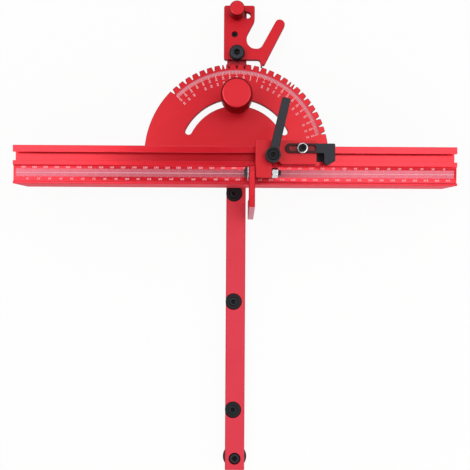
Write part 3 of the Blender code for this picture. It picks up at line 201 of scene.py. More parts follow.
class Recipe:
    """Node tree of one finish, or of the world."""

    def __init__(self, holder: bpy.types.Material | bpy.types.World) -> None:
        """Start with an empty tree.

        Args:
            holder: New material or world.
        """
        holder.use_nodes = True
        self.holder = holder
        self.tree = holder.node_tree
        self.tree.nodes.clear()

    def node(self, kind: str, settings: dict[str, Any] | None = None,
             sockets: dict[Any, Any] | None = None) -> bpy.types.Node:
        """Add any node.

        Args:
            kind: Node type, without its ShaderNode prefix.
            settings: Properties of the node, which are set first.
            sockets: Values or links for its inputs, by name or number.

        Returns:
            The new node.
        """
        made = self.tree.nodes.new("ShaderNode" + kind)
        for name, value in (settings or {}).items():
            setattr(made, name, value)
        for name, value in (sockets or {}).items():
            self.feed(made.inputs[name], value)
        return made

    def feed(self, socket: bpy.types.NodeSocket, value: Any) -> None:
        """Link a Value or a socket to an input, or set a constant on it.

        Args:
            socket: The input.
            value: What it gets.
        """
        if isinstance(value, Value):
            value = value.socket
        if isinstance(value, bpy.types.NodeSocket):
            self.tree.links.new(value, socket)
        else:
            socket.default_value = value

    def vector(self, operation: str, first: Any, second: Any = (0.0, 0.0, 0.0)) -> bpy.types.NodeSocket:
        """Result of one Vector Math node."""
        node = self.node("VectorMath", {"operation": operation}, {0: first, 1: second})
        return node.outputs["Value" if operation == "LENGTH" else "Vector"]

    def place(self) -> bpy.types.NodeSocket:
        """Place in object space."""
        return self.node("TexCoord").outputs["Object"]

    def noise(self, waves: Sequence[float], detail: float = 3.0) -> Value:
        """Noise in object space.

        Args:
            waves: Waves in a metre along X, Y and Z.
            detail: Octaves of finer noise.

        Returns:
            Noise from about -0.5 to 0.5.
        """
        scaled = self.vector("MULTIPLY", self.place(), tuple(waves))
        texture = self.node("TexNoise", {}, {"Vector": scaled, "Scale": 1.0, "Detail": detail})
        return Value(self, texture.outputs[0]) - 0.5

    def rings(self, spindle: "Spindle") -> Value:
        """Lathe marks: noise that depends on the distance from an axis alone.

        Args:
            spindle: Axis of the turned piece.

        Returns:
            Noise from about -0.5 to 0.5.
        """
        moved = self.vector("SUBTRACT", self.place(), spindle.centre())
        away = self.vector("LENGTH", self.vector("MULTIPLY", moved, spindle.across()))
        sockets = {"W": Value(self, away) * RING_WAVES, "Scale": 1.0, "Detail": 1.0}
        texture = self.node("TexNoise", {"noise_dimensions": "1D"}, sockets)
        return Value(self, texture.outputs[0]) - 0.5

    def blend(self, share: Value, first: Any, second: Any) -> bpy.types.NodeSocket:
        """Mix of two colours or sockets, by the share of the second."""
        ends = [(*end, 1.0) if isinstance(end, tuple) else end for end in (first, second)]
        return self.node("Mix", {"data_type": "RGBA"}, {0: share, 6: ends[0], 7: ends[1]}).outputs[2]

    def finish(self, shader: bpy.types.Node) -> bpy.types.Material:
        """Link a shader to the material's surface and return the material."""
        self.node("OutputMaterial", {}, {"Surface": shader.outputs[0]})
        return self.holder


@dataclass(frozen=True)
class Spindle:
    """Axis of a turned piece, upright or along X.

    Attributes:
        first: X of an upright axis, or Y of one along X.
        second: Y of an upright axis, or Z of one along X.
        along_x: Whether the axis runs along X.
    """

    first: float
    second: float
    along_x: bool = False

    def points(self, radius: np.ndarray, angle: np.ndarray, level: np.ndarray) -> np.ndarray:
        """Points at a radius, an angle and a level along the axis.

        The radius and angle are turned into two coordinates by cosine and sine, and
        the level is the third.

        Args:
            radius: Distance from the axis.
            angle: Angle about the axis in radians.
            level: Coordinate along the axis.

        Returns:
            Points with their coordinates last.
        """
        across = self.first + radius * np.cos(angle)
        aside = self.second + radius * np.sin(angle)
        height = np.broadcast_to(level, across.shape)
        order = (height, across, aside) if self.along_x else (across, aside, height)
        return np.stack(order, axis=-1)

    def centre(self) -> Colour:
        """A point on the axis."""
        return (0.0, self.first, self.second) if self.along_x else (self.first, self.second, 0.0)

    def across(self) -> Colour:
        """Mask that drops the coordinate along the axis."""
        return (0.0, 1.0, 1.0) if self.along_x else (1.0, 1.0, 0.0)


@dataclass(frozen=True)
class RubMark:
    """Upright rectangle of painted shade, where a sliding piece above leaves the metal in shade.

    Attributes:
        centre: X and Y of its middle.
        half: Half of its length and of its width.
        strength: Share of the mark's own colour.
        tone: Colour of the mark in display steps.
        softness: Width over which it fades in.
    """

    centre: tuple[float, float]
    half: tuple[float, float]
    strength: float
    tone: Colour
    softness: float = 0.0012

    def share(self, recipe: Recipe) -> Value:
        """Mark at a place: its depth inside the rectangle along X, times that along Y.

        Args:
            recipe: Tree that the nodes are added to.

        Returns:
            0 outside the mark and its strength well inside it.
        """
        away = recipe.vector("ABSOLUTE", recipe.vector("SUBTRACT", recipe.place(), (*self.centre, 0.0)))
        axes = recipe.node("SeparateXYZ", {}, {0: away})
        mark = self.strength
        for axis, half in enumerate(self.half):
            mark = ((half - Value(recipe, axes.outputs[axis])) * (1.0 / self.softness)).clamped() * mark
        return mark


@dataclass(frozen=True)
class Finish:
    """A finish with fine marks, clouds of tone and a slight relief.

    Attributes:
        name: Name of its material.
        tone: Usual colour in display steps.
        shade: Colour of its darker clouds in display steps.
        roughness: Middle roughness.
        metallic: Share of bare-metal reflection.
        lay: Direction of its marks.
        clouds: Strength of the large clouds of tone.
        grain: Strength of the fine marks in the colour.
        gloss_range: How far the marks change the roughness.
        relief: Height of the marks in metres.
        cloud_waves: Clouds in a metre.
        specular: Strength of the clear reflection, 0.5 being usual.
        edge_tint: Tint of the reflection.
        rub: Rectangle of painted shade under a sliding piece above.
    """

    name: str
    tone: Colour
    shade: Colour
    roughness: float
    metallic: float
    lay: Lay = Lay.BLASTED
    clouds: float = 0.9
    grain: float = 0.8
    gloss_range: float = 0.16
    relief: float = 0.000012
    cloud_waves: float = 34.0
    specular: float = 0.5
    edge_tint: Colour = (1.0, 1.0, 1.0)
    rub: RubMark | None = None

    @cache
    def material(self, spindle: Spindle | None = None) -> bpy.types.Material:
        """Material of this finish.

        Args:
            spindle: Axis of a turned piece, whose marks are rings about it.

        Returns:
            The material, made once for each axis.
        """
        recipe = Recipe(bpy.data.materials.new(self.name if spindle is None else self.name + "_turned"))
        marks = recipe.noise(self.lay.value)
        if spindle is not None:
            marks = recipe.rings(spindle) * RING_SHARE + marks * (1.0 - RING_SHARE)
        clouds = recipe.noise((self.cloud_waves,) * 3)
        share = (clouds * self.clouds + marks * self.grain + MIDDLE_SHADE).clamped()
        colour = recipe.blend(share, linear(self.tone), linear(self.shade))
        # Painted shade patch laid over the colour
        if self.rub is not None:
            colour = recipe.blend(self.rub.share(recipe), colour, linear(self.rub.tone))
        bump = recipe.node("Bump", {}, {"Strength": 1.0, "Distance": self.relief, "Height": marks})
        shader = recipe.node("BsdfPrincipled", {}, {
            "Base Color": colour,
            "Roughness": (marks * self.gloss_range + self.roughness).clamped(0.05, 1.0),
            "Metallic": self.metallic,
            "Specular IOR Level": self.specular,
            "Specular Tint": (*self.edge_tint, 1.0),
            "Normal": bump.outputs[0],
        })
        return recipe.finish(shader)


# Tints of the reflection
RED_GLINT = (0.85, 0.3, 0.34)
COOL_GLINT = (1.0, 0.9, 1.0)

RED_PLATE = Finish("red_anodised_plate", (230, 26, 44), (212, 18, 34), 0.32, 0.3, specular=0.45)
RED_DRAWN_X = Finish("red_anodised_fence", (232, 29, 45), (214, 21, 35), 0.22, 0.35, Lay.ALONG_X,
                     specular=0.45, gloss_range=0.1, edge_tint=COOL_GLINT)
RED_DRAWN_Y = Finish("red_anodised_bar", (225, 60, 77), (214, 50, 66), 0.5, 0.1, Lay.ALONG_Y, specular=0.3)
RED_KNOB = Finish("red_anodised_knob", (230, 26, 44), (212, 18, 34), 0.34, 0.25, relief=0.00002)
# Carriage red, with a patch of painted shade in the pointer's slot
RED_CARRIAGE = Finish("red_anodised_carriage", (222, 24, 40), (204, 16, 30), 0.36, 0.2, specular=0.4,
                      rub=RubMark((0.0596, 0.0009), (0.0118, 0.0029), 0.75, (96, 14, 24)))
# Paler pink copy of the fence red for its upright faces and edges: painted reflection
RED_FRONT_PAINTED_REFLECTION = Finish("red_anodised_front_painted_reflection", (220, 62, 78), (208, 52, 68), 0.6, 0.0, Lay.ALONG_X, specular=0.1)
# Darker copy of the red for upright faces and rounded edges: painted shade
RED_SIDE_PAINTED_SHADE = Finish("red_anodised_side_painted_shade", (150, 24, 42), (134, 18, 34), 0.5, 0.15, specular=0.15,
                  edge_tint=RED_GLINT)
# Much darker copy of the red for knob barrels and rims: painted shade
RED_BARREL_PAINTED_SHADE = Finish("red_anodised_barrel_painted_shade", (126, 8, 18), (102, 4, 12), 0.4, 0.4, specular=0.15,
                  edge_tint=RED_GLINT)
OXIDE = Finish("black_oxide", (44, 47, 56), (32, 34, 42), 0.4, 0.2, grain=0.6, specular=0.4)
# Darker black for screw heads' sides, rims and sockets: painted shade
OXIDE_PAINTED_SHADE = Finish("black_oxide_rim_painted_shade", (16, 16, 20), (10, 10, 13), 0.45, 0.1, grain=0.6, specular=0.2)
OXIDE_EDGE = Finish("black_oxide_edge", (52, 53, 58), (44, 47, 56), 0.38, 0.2, grain=0.5, specular=0.3)
DISC = Finish("black_disc", (34, 34, 38), (22, 22, 26), 0.6, 0.0, specular=0.2, relief=0.00003)
MOULDED = Finish("black_moulded", (54, 55, 61), (44, 45, 51), 0.6, 0.0, specular=0.2, relief=0.00004,
                 gloss_range=0.1)
# Pointer black, with a darker reddish patch of painted shade round its slot
MOULDED_WITH_PAINTED_SHADE = replace(MOULDED, name="black_moulded_pointer",
                         rub=RubMark((0.0560, 0.0009), (0.0150, 0.0080), 0.85, (66, 30, 30), 0.003))
# Darker black for moulded sides and rounded edges: painted shade
MOULDED_EDGE_PAINTED_SHADE = Finish("black_moulded_edge_painted_shade", (30, 30, 35), (16, 16, 20), 0.5, 0.0, specular=0.2)
ZINC = Finish("bright_zinc", (225, 226, 230), (178, 180, 186), 0.24, 1.0, relief=0.00001)
INK = Finish("pale_engraving", (250, 208, 216), (232, 180, 190), 0.65, 0.0, clouds=0.5, specular=0.2)
ETCHED = Finish("etched_band", (198, 66, 86), (184, 54, 72), 0.24, 0.25, Lay.ALONG_X, gloss_range=0.1,
                edge_tint=COOL_GLINT)
# Pale pink for the flip arm's faces turned towards -Y: painted reflection
FRONT_PAINTED_REFLECTION = Finish("toe_painted_reflection", (200, 126, 138), (182, 104, 116), 0.5, 0.2, specular=0.3)
SCALE_BAND = Finish("scale_band", (218, 120, 134), (200, 98, 112), 0.6, 0.0, specular=0.2)


@dataclass(frozen=True)
class Room:
    """Box of a CAD node, seen along the axis that its piece is turned about.

    Attributes:
        low: Its lowest corner.
        high: Its highest corner.
        along_x: Whether the axis runs along X and not upright.
    """

    low: Vector
    high: Vector
    along_x: bool = False

    @classmethod
    def of(cls, node: str, along_x: bool = False) -> "Room":
        """Box of the node of that name."""
        return cls(*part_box(node), along_x)

    @property
    def spindle(self) -> Spindle:
        """Axis through the middle."""
        x, y, z = (self.low + self.high) / 2
        return Spindle(y, z, True) if self.along_x else Spindle(x, y)

    @property
    def bottom(self) -> float:
        """Lower end along the axis."""
        return self.low.x if self.along_x else self.low.z

    @property
    def top(self) -> float:
        """Upper end along the axis."""
        return self.high.x if self.along_x else self.high.z

    @property
    def radius(self) -> float:
        """Radius about the axis."""
        size = self.high - self.low
        return (size.y if self.along_x else size.x) / 2


@dataclass(frozen=True)
class Corner:
    """Corner of a turned profile.

    Attributes:
        radius: Distance from the axis, or half the width across flats.
        level: Coordinate along the axis.
        rounding: How far from the corner its curve starts.
        flats: 0 on a round section and 1 on a hexagon.
    """

    radius: float
    level: float
    rounding: float = 0.0
    flats: float = 0.0


@dataclass(frozen=True)
class Thread:
    """Screw thread on part of a turned piece.

    Attributes:
        low: Level where it starts.
        high: Level where it ends.
        pitch: Rise in one turn.
        depth: Depth of its groove.
    """

    low: float
    high: float
    pitch: float
    depth: float

    def rows(self, radius: float) -> list[Corner]:
        """Corners close enough along the thread to carry its groove."""
        count = max(2, round((self.high - self.low) / self.pitch * THREAD_ROWS))
        return [Corner(radius, float(level)) for level in np.linspace(self.low, self.high, count)]

    def groove(self, level: np.ndarray, angle: np.ndarray) -> np.ndarray:
        """Depth of the groove: a triangle wave of the level less the turned angle.

        It fades to nothing over the first and last half pitch.

        Args:
            level: Levels as a column.
            angle: Angles as a row.

        Returns:
            Depth at each level and angle.
        """
        phase = (level / self.pitch - angle / math.tau) % 1.0
        wave = np.abs(2.0 * phase - 1.0)
        inside = np.minimum(level - self.low, self.high - level) / (self.pitch / 2)
        return self.depth * wave * np.clip(inside, 0.0, 1.0)


def profile_rows(corners: Sequence[Corner]) -> np.ndarray:
    """Rows of radius, level and flats along a profile.

    A rounded corner is a curve of the second degree between a point before the
    corner and a point after it.

    Args:
        corners: Corners in order.

    Returns:
        One row for each point of the profile.
    """
    spots = np.array([(corner.radius, corner.level, corner.flats) for corner in corners])
    share = np.linspace(0.0, 1.0, CORNER_STEPS + 1)[:, None]
    rows = []
    for index, corner in enumerate(corners):
        here = spots[index]
        if corner.rounding == 0.0:
            rows.append(here[None, :])
            continue
        back = spots[index - 1] - here
        ahead = spots[(index + 1) % len(corners)] - here
        start = here + back * (corner.rounding / np.hypot(back[0], back[1]))
        end = here + ahead * (corner.rounding / np.hypot(ahead[0], ahead[1]))
        rows.append((1 - share) ** 2 * start + 2 * share * (1 - share) * here + share ** 2 * end)
    return np.concatenate(rows)


def hexagon_stretch(angle: np.ndarray) -> np.ndarray:
    """Distance to a hexagon's side, in widths of its flat: 1 over a cosine."""
    return 1.0 / np.cos((angle + math.pi / 6) % (math.pi / 3) - math.pi / 6)


def grid_faces(rows: int, columns: int, ring: bool) -> np.ndarray:
    """Four-sided faces between the points of a grid that closes along its columns.

    Args:
        rows: Number of rows.
        columns: Points in a row.
        ring: Whether the last row also joins the first.

    Returns:
        Point numbers of each face.
    """
    row = np.arange(rows if ring else rows - 1)[:, None]
    column = np.arange(columns)[None, :]
    after = (column + 1) % columns
    above = (row + 1) % rows
    faces = (row * columns + column, row * columns + after, above * columns + after, above * columns + column)
    return np.stack(faces, axis=-1).reshape(-1, 4)


def new_object(name: str, data: bpy.types.ID) -> bpy.types.Object:
    """New object in the scene.

    Args:
        name: Name of the object.
        data: Its mesh, curve, camera or light.

    Returns:
        The object, at the origin.
    """
    made = bpy.data.objects.new(name, data)
    bpy.context.scene.collection.objects.link(made)
    return made


def mesh_object(name: str, points: np.ndarray, faces: np.ndarray) -> bpy.types.Object:
    """Object from arrays, with equal points merged and faces turned outwards.

    Args:
        name: Name of the object.
        points: Points with their coordinates last.
        faces: Point numbers of each face.

    Returns:
        The object, at the origin.
    """
    mesh = bpy.data.meshes.new(name)
    mesh.from_pydata(points.reshape(-1, 3), [], faces)
    solid = bmesh.new()
    solid.from_mesh(mesh)
    bmesh.ops.remove_doubles(solid, verts=solid.verts, dist=MERGE_DISTANCE)
    bmesh.ops.recalc_face_normals(solid, faces=solid.faces)
    solid.to_mesh(mesh)
    solid.free()
    return new_object(name, mesh)


def smooth(piece: bpy.types.Object, degrees: float = 32.0) -> None:
    """Shade a piece smooth apart from edges sharper than an angle."""
    piece.data.shade_smooth()
    piece.data.set_sharp_from_angle(angle=math.radians(degrees))


def evaluated_mesh(source: bpy.types.Object) -> bpy.types.Mesh:
    """New mesh of an object as it is after its modifiers or its text settings."""
    bpy.context.view_layer.update()
    return bpy.data.meshes.new_from_object(source.evaluated_get(bpy.context.evaluated_depsgraph_get()))


def round_edges(piece: bpy.types.Object, width: float, degrees: float = 36.0, segments: int = 2) -> None:
    """Round a piece's sharp edges, with the second material on the new faces.

    Args:
        piece: The piece.
        width: Width of the rounding.
        degrees: Edges sharper than this are rounded.
        segments: Faces across the rounding.
    """
    bevel = piece.modifiers.new("edges", "BEVEL")
    bevel.width = width
    bevel.segments = segments
    bevel.limit_method = "ANGLE"
    bevel.angle_limit = math.radians(degrees)
    bevel.use_clamp_overlap = False
    bevel.loop_slide = False
    bevel.harden_normals = True
    bevel.material = 1
    split = piece.modifiers.new("faces", "TRIANGULATE")
    split.min_vertices = 5
    split.keep_custom_normals = True
    smooth(piece)
    finished = evaluated_mesh(piece)
    piece.modifiers.clear()
    piece.data = finished


def copy_of(node: str, name: str) -> bpy.types.Object:
    """Copy of a CAD node with its points merged and its flat faces made whole.

    Args:
        node: Name of the CAD node.
        name: Name of the copy.

    Returns:
        The copy, with no material.
    """
    solid = bmesh.new()
    solid.from_mesh(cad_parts[node].data)
    bmesh.ops.remove_doubles(solid, verts=solid.verts, dist=COPY_MERGE_DISTANCE)
    bmesh.ops.dissolve_limit(solid, angle_limit=FLAT_ANGLE, verts=solid.verts, edges=solid.edges)
    mesh = bpy.data.meshes.new(name)
    solid.to_mesh(mesh)
    solid.free()
    return new_object(name, mesh)


def paint_faces(piece: bpy.types.Object, material: int, axis: int, low: float, high: float) -> None:
    """Give a material to the faces that look a certain way.

    Args:
        piece: The piece.
        material: Number of the material.
        axis: Which part of the normal is looked at, 0 to 2 for X to Z.
        low: Least value of that part.
        high: Largest value of that part.
    """
    mesh = piece.data
    count = len(mesh.polygons)
    normals = np.empty(count * 3)
    numbers = np.empty(count, dtype=np.int32)
    mesh.polygons.foreach_get("normal", normals)
    mesh.polygons.foreach_get("material_index", numbers)
    part = normals.reshape(-1, 3)[:, axis]
    mesh.polygons.foreach_set("material_index", np.where((part > low) & (part < high), material, numbers))


def dress(piece: bpy.types.Object, *materials: bpy.types.Material) -> None:
    """Give a piece its materials.

    Args:
        piece: The piece.
        materials: Its materials, the one of its main faces first.
    """
    piece.data.materials.clear()
    for material in materials:
        piece.data.materials.append(material)


def seat(piece: bpy.types.Object, body: Body, slot: Slot, *nodes: str) -> None:
    """Let a finished piece ride on its body, in place of CAD nodes.

    Args:
        piece: The piece.
        body: Body that it moves with.
        slot: Record slot of its finish; not used.
        nodes: CAD nodes that it stands for.
    """
    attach(piece, body.value)
    if nodes:
        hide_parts(*nodes)
    LOG.info("%s on %s: %d faces", piece.name, body.value, len(piece.data.polygons))


def socket_corners(width: float, mouth: float, depth: float) -> list[Corner]:
    """Profile of a hexagon socket from its chamfered mouth inwards.

    Args:
        width: Width across its flats.
        mouth: Level of its mouth.
        depth: Depth, below 0 where it runs down.

    Returns:
        Its three corners.
    """
    flat = width / 2
    chamfer = math.copysign(SOCKET_CHAMFER, depth)
    return [Corner(flat + SOCKET_CHAMFER, mouth, flats=1.0), Corner(flat, mouth + chamfer, flats=1.0),
            Corner(flat, mouth + depth, flats=1.0)]


@dataclass(frozen=True)
class NodePiece:
    """A finished piece that takes the place of one CAD node.

    Attributes:
        node: Name of the CAD node.
        body: Body that it rides on.
    """

    node: str
    body: Body

    def turn(self, slot: Slot, room: Room, corners: Sequence[Corner], *finishes: Finish,
             ring: bool = False, steps: int = ROUND_STEPS, thread: Thread | None = None) -> None:
        """Make it a turned piece: a profile carried round its axis.

        The radius at an angle is the profile's radius, stretched towards a hexagon
        where the profile has flats, less the groove of the thread.

        Args:
            slot: Record slot of its finish.
            room: Box and axis of the node.
            corners: Profile from its lower end round the outside to its upper end.
            finishes: Finish of its level faces, and of the others where that differs.
            ring: Whether the profile closes on itself.
            steps: Points round the axis.
            thread: Thread on part of it.
        """
        rows = profile_rows(corners)
        angle = np.arange(steps) * (math.tau / steps)
        level = rows[:, 1:2]
        radius = rows[:, 0:1] * (1.0 + rows[:, 2:3] * (hexagon_stretch(angle) - 1.0))
        if thread is not None:
            radius = radius - thread.groove(level, angle)
        points = room.spindle.points(radius, angle, level)
        piece = mesh_object(self.node + "_finished", points, grid_faces(len(rows), steps, ring))
        smooth(piece)
        dress(piece, *(finish.material(room.spindle) for finish in finishes))
        if len(finishes) > 1:
            paint_faces(piece, material=1, axis=2, low=-SLOPING, high=SLOPING)
        seat(piece, self.body, slot, self.node)


@dataclass(frozen=True)
class Plain(NodePiece):
    """A CAD node whose form stays, with its edges rounded and dressed.

    Attributes:
        slot: Record slot of its finish.
        face: Finish of its level faces.
        side: Finish of its upright faces.
        edge: Finish of its rounded edges.
        rounding: Width of the rounding.
    """

    slot: Slot
    face: Finish
    side: Finish
    edge: Finish
    rounding: float = 0.00015

    def build(self) -> bpy.types.Object:
        """Make the piece and seat it.

        Returns:
            The piece.
        """
        piece = copy_of(self.node, self.node + "_finished")
        dress(piece, self.face.material(), self.edge.material(), self.side.material())
        paint_faces(piece, material=2, axis=2, low=-UPRIGHT, high=UPRIGHT)
        round_edges(piece, self.rounding)
        seat(piece, self.body, self.slot, self.node)
        return piece


@dataclass(frozen=True)
class SocketScrew(NodePiece):
    """Socket screw made from its CAD node's box.

    Attributes:
        shank: Diameter below the head.
        head_height: Height of the head.
        socket: Width of the socket across its flats.
        socket_depth: Depth of the socket.
        rim: Rounding of the head's rim.
        shoulder: Diameter of the shoulder below the head, none if 0.
        shoulder_end: Level where the shoulder ends.
        top: Finish of the head's flat top.
    """

    shank: float
    head_height: float
    socket: float
    socket_depth: float
    rim: float = 0.0005
    shoulder: float = 0.0
    shoulder_end: float = 0.0
    top: Finish = OXIDE

    def build(self) -> None:
        """Make the screw and seat it."""
        room = Room.of(self.node)
        under = room.top - self.head_height
        shank, shoulder = self.shank / 2, self.shoulder / 2
        neck = [Corner(shank, under)]
        if self.shoulder:
            neck = [Corner(shank, self.shoulder_end), Corner(shoulder, self.shoulder_end),
                    Corner(shoulder, under)]
        # The head's flat top takes its own finish; its sides, rim and socket take the painted shade.
        self.turn(Slot.OXIDE, room, [
            Corner(0.0, room.bottom), Corner(shank, room.bottom, SCREW_CHAMFER), *neck,
            Corner(room.radius, under, SCREW_CHAMFER), Corner(room.radius, room.top, self.rim),
            *socket_corners(self.socket, room.top, -self.socket_depth),
            Corner(0.0, room.top - self.socket_depth - self.socket / 2 * SOCKET_CONE),
        ], self.top, OXIDE_PAINTED_SHADE, steps=SMALL_ROUND_STEPS)


@dataclass(frozen=True)
class Stud(NodePiece):
    """Threaded stud made from its CAD node's box.

    Attributes:
        pitch: Rise of its thread in one turn.
        depth: Depth of its thread.
    """

    pitch: float = 0.0008
    depth: float = 0.0003

    def build(self) -> None:
        """Make the stud and seat it."""
        room = Room.of(self.node)
        end = room.radius - SCREW_CHAMFER
        thread = Thread(room.bottom + SCREW_CHAMFER, room.top - SCREW_CHAMFER, self.pitch, self.depth)
        self.turn(Slot.ZINC, room, [
            Corner(0.0, room.bottom), Corner(end, room.bottom), *thread.rows(room.radius),
            Corner(end, room.top), Corner(0.0, room.top),
        ], ZINC, steps=SMALL_ROUND_STEPS, thread=thread)


@dataclass(frozen=True)
class Washer(NodePiece):
    """Flat ring made from its CAD node's box.

    Attributes:
        bore: Diameter of its hole.
        slot: Record slot of its finish.
        finish: Its finish.
        rim: Rounding of its outer edges, twice that of the bore's.
        along_x: Whether its axis runs along X.
    """

    bore: float
    slot: Slot
    finish: Finish
    rim: float = 0.0002
    along_x: bool = False

    def build(self) -> None:
        """Make the washer and seat it."""
        room = Room.of(self.node, self.along_x)
        bore, soft = self.bore / 2, self.rim / 2
        self.turn(self.slot, room, [
            Corner(bore, room.bottom, soft), Corner(room.radius, room.bottom, self.rim),
            Corner(room.radius, room.top, self.rim), Corner(bore, room.top, soft),
        ], self.finish, ring=True)


@dataclass(frozen=True)
class Knob(NodePiece):
    """Turned knob on a neck, with a blind bore from below.

    Attributes:
        neck: Diameter of the neck.
        barrel_bottom: Level where the barrel starts.
        bore: Diameter of the bore.
        bore_top: Level of the bore's end.
        rim: Rounding of the barrel's rims.
        dish: Depth of the shallow dish in the top.
        dish_share: Share of the radius that the dish takes.
    """

    neck: float
    barrel_bottom: float
    bore: float
    bore_top: float
    rim: float
    dish: float = 0.00012
    dish_share: float = 0.8

    def build(self) -> None:
        """Make the knob and seat it."""
        room = Room.of(self.node)
        radius, neck, bore = room.radius, self.neck / 2, self.bore / 2
        flare = (radius - neck) / 2
        # Level faces take the knob red; the barrel and its rounded rims take the painted shade.
        self.turn(Slot.RED, room, [
            Corner(0.0, self.bore_top), Corner(bore, self.bore_top), Corner(bore, room.bottom),
            Corner(neck, room.bottom, SCREW_CHAMFER), Corner(neck, self.barrel_bottom - flare, flare / 2),
            Corner(neck + flare, self.barrel_bottom, flare / 2), Corner(radius, self.barrel_bottom, self.rim),
            Corner(radius, room.top, self.rim), Corner(radius * self.dish_share, room.top, self.dish),
            Corner(0.0, room.top - self.dish),
        ], RED_KNOB, RED_BARREL_PAINTED_SHADE)


class GlyphCase:
    """Raised numerals 0 to 9, kept as arrays of points and triangles."""

    def __init__(self, height: float, weight: float) -> None:
        """Draw the ten numerals once.

        Args:
            height: Height of a numeral.
            weight: How far its outline is moved outwards.
        """
        self.height = height
        self.weight = weight
        self.glyphs = [self._glyph(str(numeral)) for numeral in range(10)]

    def _glyph(self, text: str) -> tuple[np.ndarray, np.ndarray, float]:
        """Mesh of one numeral from Blender's own font.

        Args:
            text: The numeral.

        Returns:
            Its points about its middle, its triangles and its width.
        """
        curve = bpy.data.curves.new("numeral", "FONT")
        curve.body = text
        curve.size = self.height * FONT_SIZE_FOR_HEIGHT
        curve.extrude = (INK_RISE + INK_ROOT) / 2
        curve.offset = self.weight
        curve.resolution_u = NUMERAL_CURVE_STEPS
        writer = new_object("numeral", curve)
        mesh = evaluated_mesh(writer)
        points = np.empty(len(mesh.vertices) * 3)
        mesh.vertices.foreach_get("co", points)
        points = points.reshape(-1, 3)
        mesh.calc_loop_triangles()
        triangles = np.empty(len(mesh.loop_triangles) * 3, dtype=np.int64)
        mesh.loop_triangles.foreach_get("vertices", triangles)
        bpy.data.objects.remove(writer, do_unlink=True)
        bpy.data.meshes.remove(mesh)
        middle = (points[:, 0].max() + points[:, 0].min()) / 2
        width = float(points[:, 0].max() - points[:, 0].min())
        points = points - (middle, self.height / 2, (INK_ROOT - INK_RISE) / 2)
        return points, triangles.reshape(-1, 3), width

    def write(self, number: int) -> tuple[np.ndarray, np.ndarray]:
        """Points and triangles of a number, centred on the origin in X and Y.

        Args:
            number: The number.

        Returns:
            Its points and its triangles.
        """
        points, triangles, advance, count = [], [], 0.0, 0
        for character in str(number):
            glyph, faces, width = self.glyphs[int(character)]
            points.append(glyph + (advance + width / 2, 0.0, 0.0))
            triangles.append(faces + count)
            advance += width + self.height * NUMERAL_GAP
            count += len(glyph)
        whole = np.concatenate(points)
        whole[:, 0] -= (advance - self.height * NUMERAL_GAP) / 2
        return whole, np.concatenate(triangles)


class Engraving:
    """Ink marks that lie on flat places of one body, gathered into one piece."""

    def __init__(self) -> None:
        """Start with no marks."""
        self.points: list[np.ndarray] = []
        self.faces: list[np.ndarray] = []
        self.count = 0

    def add(self, points: np.ndarray, faces: np.ndarray) -> None:
        """Add a closed shape.

        Args:
            points: Its points.
            faces: Its triangles, as numbers of those points.
        """
        self.points.append(points.reshape(-1, 3))
        self.faces.append(faces + self.count)
        self.count += len(self.points[-1])

    def strokes(self, starts: np.ndarray, ends: np.ndarray, width: float, level: float) -> None:
        """Straight strokes, each a thin closed block.

        A stroke's corners are its two ends moved by half its width to each side,
        at the level of the ink's root and of its top.

        Args:
            starts: X and Y where each stroke starts.
            ends: X and Y where each stroke ends.
            width: Width of the strokes.
            level: Level of the metal.
        """
        along = ends - starts
        side = np.stack((-along[:, 1], along[:, 0]), axis=-1)
        side = side / np.linalg.norm(side, axis=1, keepdims=True) * (width / 2)
        flat = np.stack((starts - side, ends - side, ends + side, starts + side), axis=1)
        low = np.concatenate((flat, np.full((*flat.shape[:2], 1), level - INK_ROOT)), axis=2)
        high = np.concatenate((flat, np.full((*flat.shape[:2], 1), level + INK_RISE)), axis=2)
        first = np.arange(len(starts))[:, None, None] * BLOCK_CORNERS
        self.add(np.concatenate((low, high), axis=1), (first + BLOCK_TRIANGLES).reshape(-1, 3))

    def arc(self, spindle: Spindle, radius: float, width: float, start: float, end: float,
            level: float) -> None:
        """Curved stroke: a rectangle carried along an arc, closed at both ends.

        Args:
            spindle: Centre of the arc.
            radius: Radius of its middle.
            width: Width of the stroke.
            start: First angle in degrees, clockwise from Y.
            end: Last angle in degrees.
            level: Level of the metal.
        """
        angle = np.radians(RIGHT_ANGLE - np.linspace(start, end, round(end - start) + 1))[:, None]
        radii = radius + np.array((-0.5, 0.5, 0.5, -0.5)) * width
        levels = level + np.array((-INK_ROOT, -INK_ROOT, INK_RISE, INK_RISE))
        points = spindle.points(radii[None, :] + 0.0 * angle, angle, levels[None, :])
        quads = grid_faces(len(angle), 4, ring=False)
        last = 4 * (len(angle) - 1)
        ends = np.array(((0, 1, 2), (0, 2, 3), (last + 2, last + 1, last), (last + 3, last + 2, last)))
        self.add(points, np.concatenate((quads[:, [0, 2, 1]], quads[:, [0, 3, 2]], ends)))

    def number(self, case: GlyphCase, number: int, place: Sequence[float], heading: float = 0.0) -> None:
        """One number on a flat place.

        Args:
            case: Numerals to write it with.
            number: The number.
            place: X, Y and Z of its middle on the metal.
            heading: Degrees that it is turned clockwise.
        """
        points, faces = case.write(number)
        turned = math.radians(heading)
        cosine, sine = math.cos(turned), math.sin(turned)
        swing = np.array(((cosine, sine, 0), (-sine, cosine, 0), (0, 0, 1)))
        self.add(points @ swing.T + np.array(place), faces)

    def build(self, name: str, body: Body, finish: Finish = INK) -> None:
        """Make one piece of all the marks and seat it.

        Args:
            name: Name of the piece.
            body: Body that it rides on.
            finish: Its finish.
        """
        piece = mesh_object(name, np.concatenate(self.points), np.concatenate(self.faces))
        dress(piece, finish.material())
        seat(piece, body, Slot.RED)


def clock_points(radius: float | np.ndarray, degrees: np.ndarray) -> np.ndarray:
    """X and Y of points about the swing axis, by angle clockwise from Y."""
    angle = np.radians(degrees)
    return np.stack((radius * np.sin(angle), radius * np.cos(angle)), axis=-1)


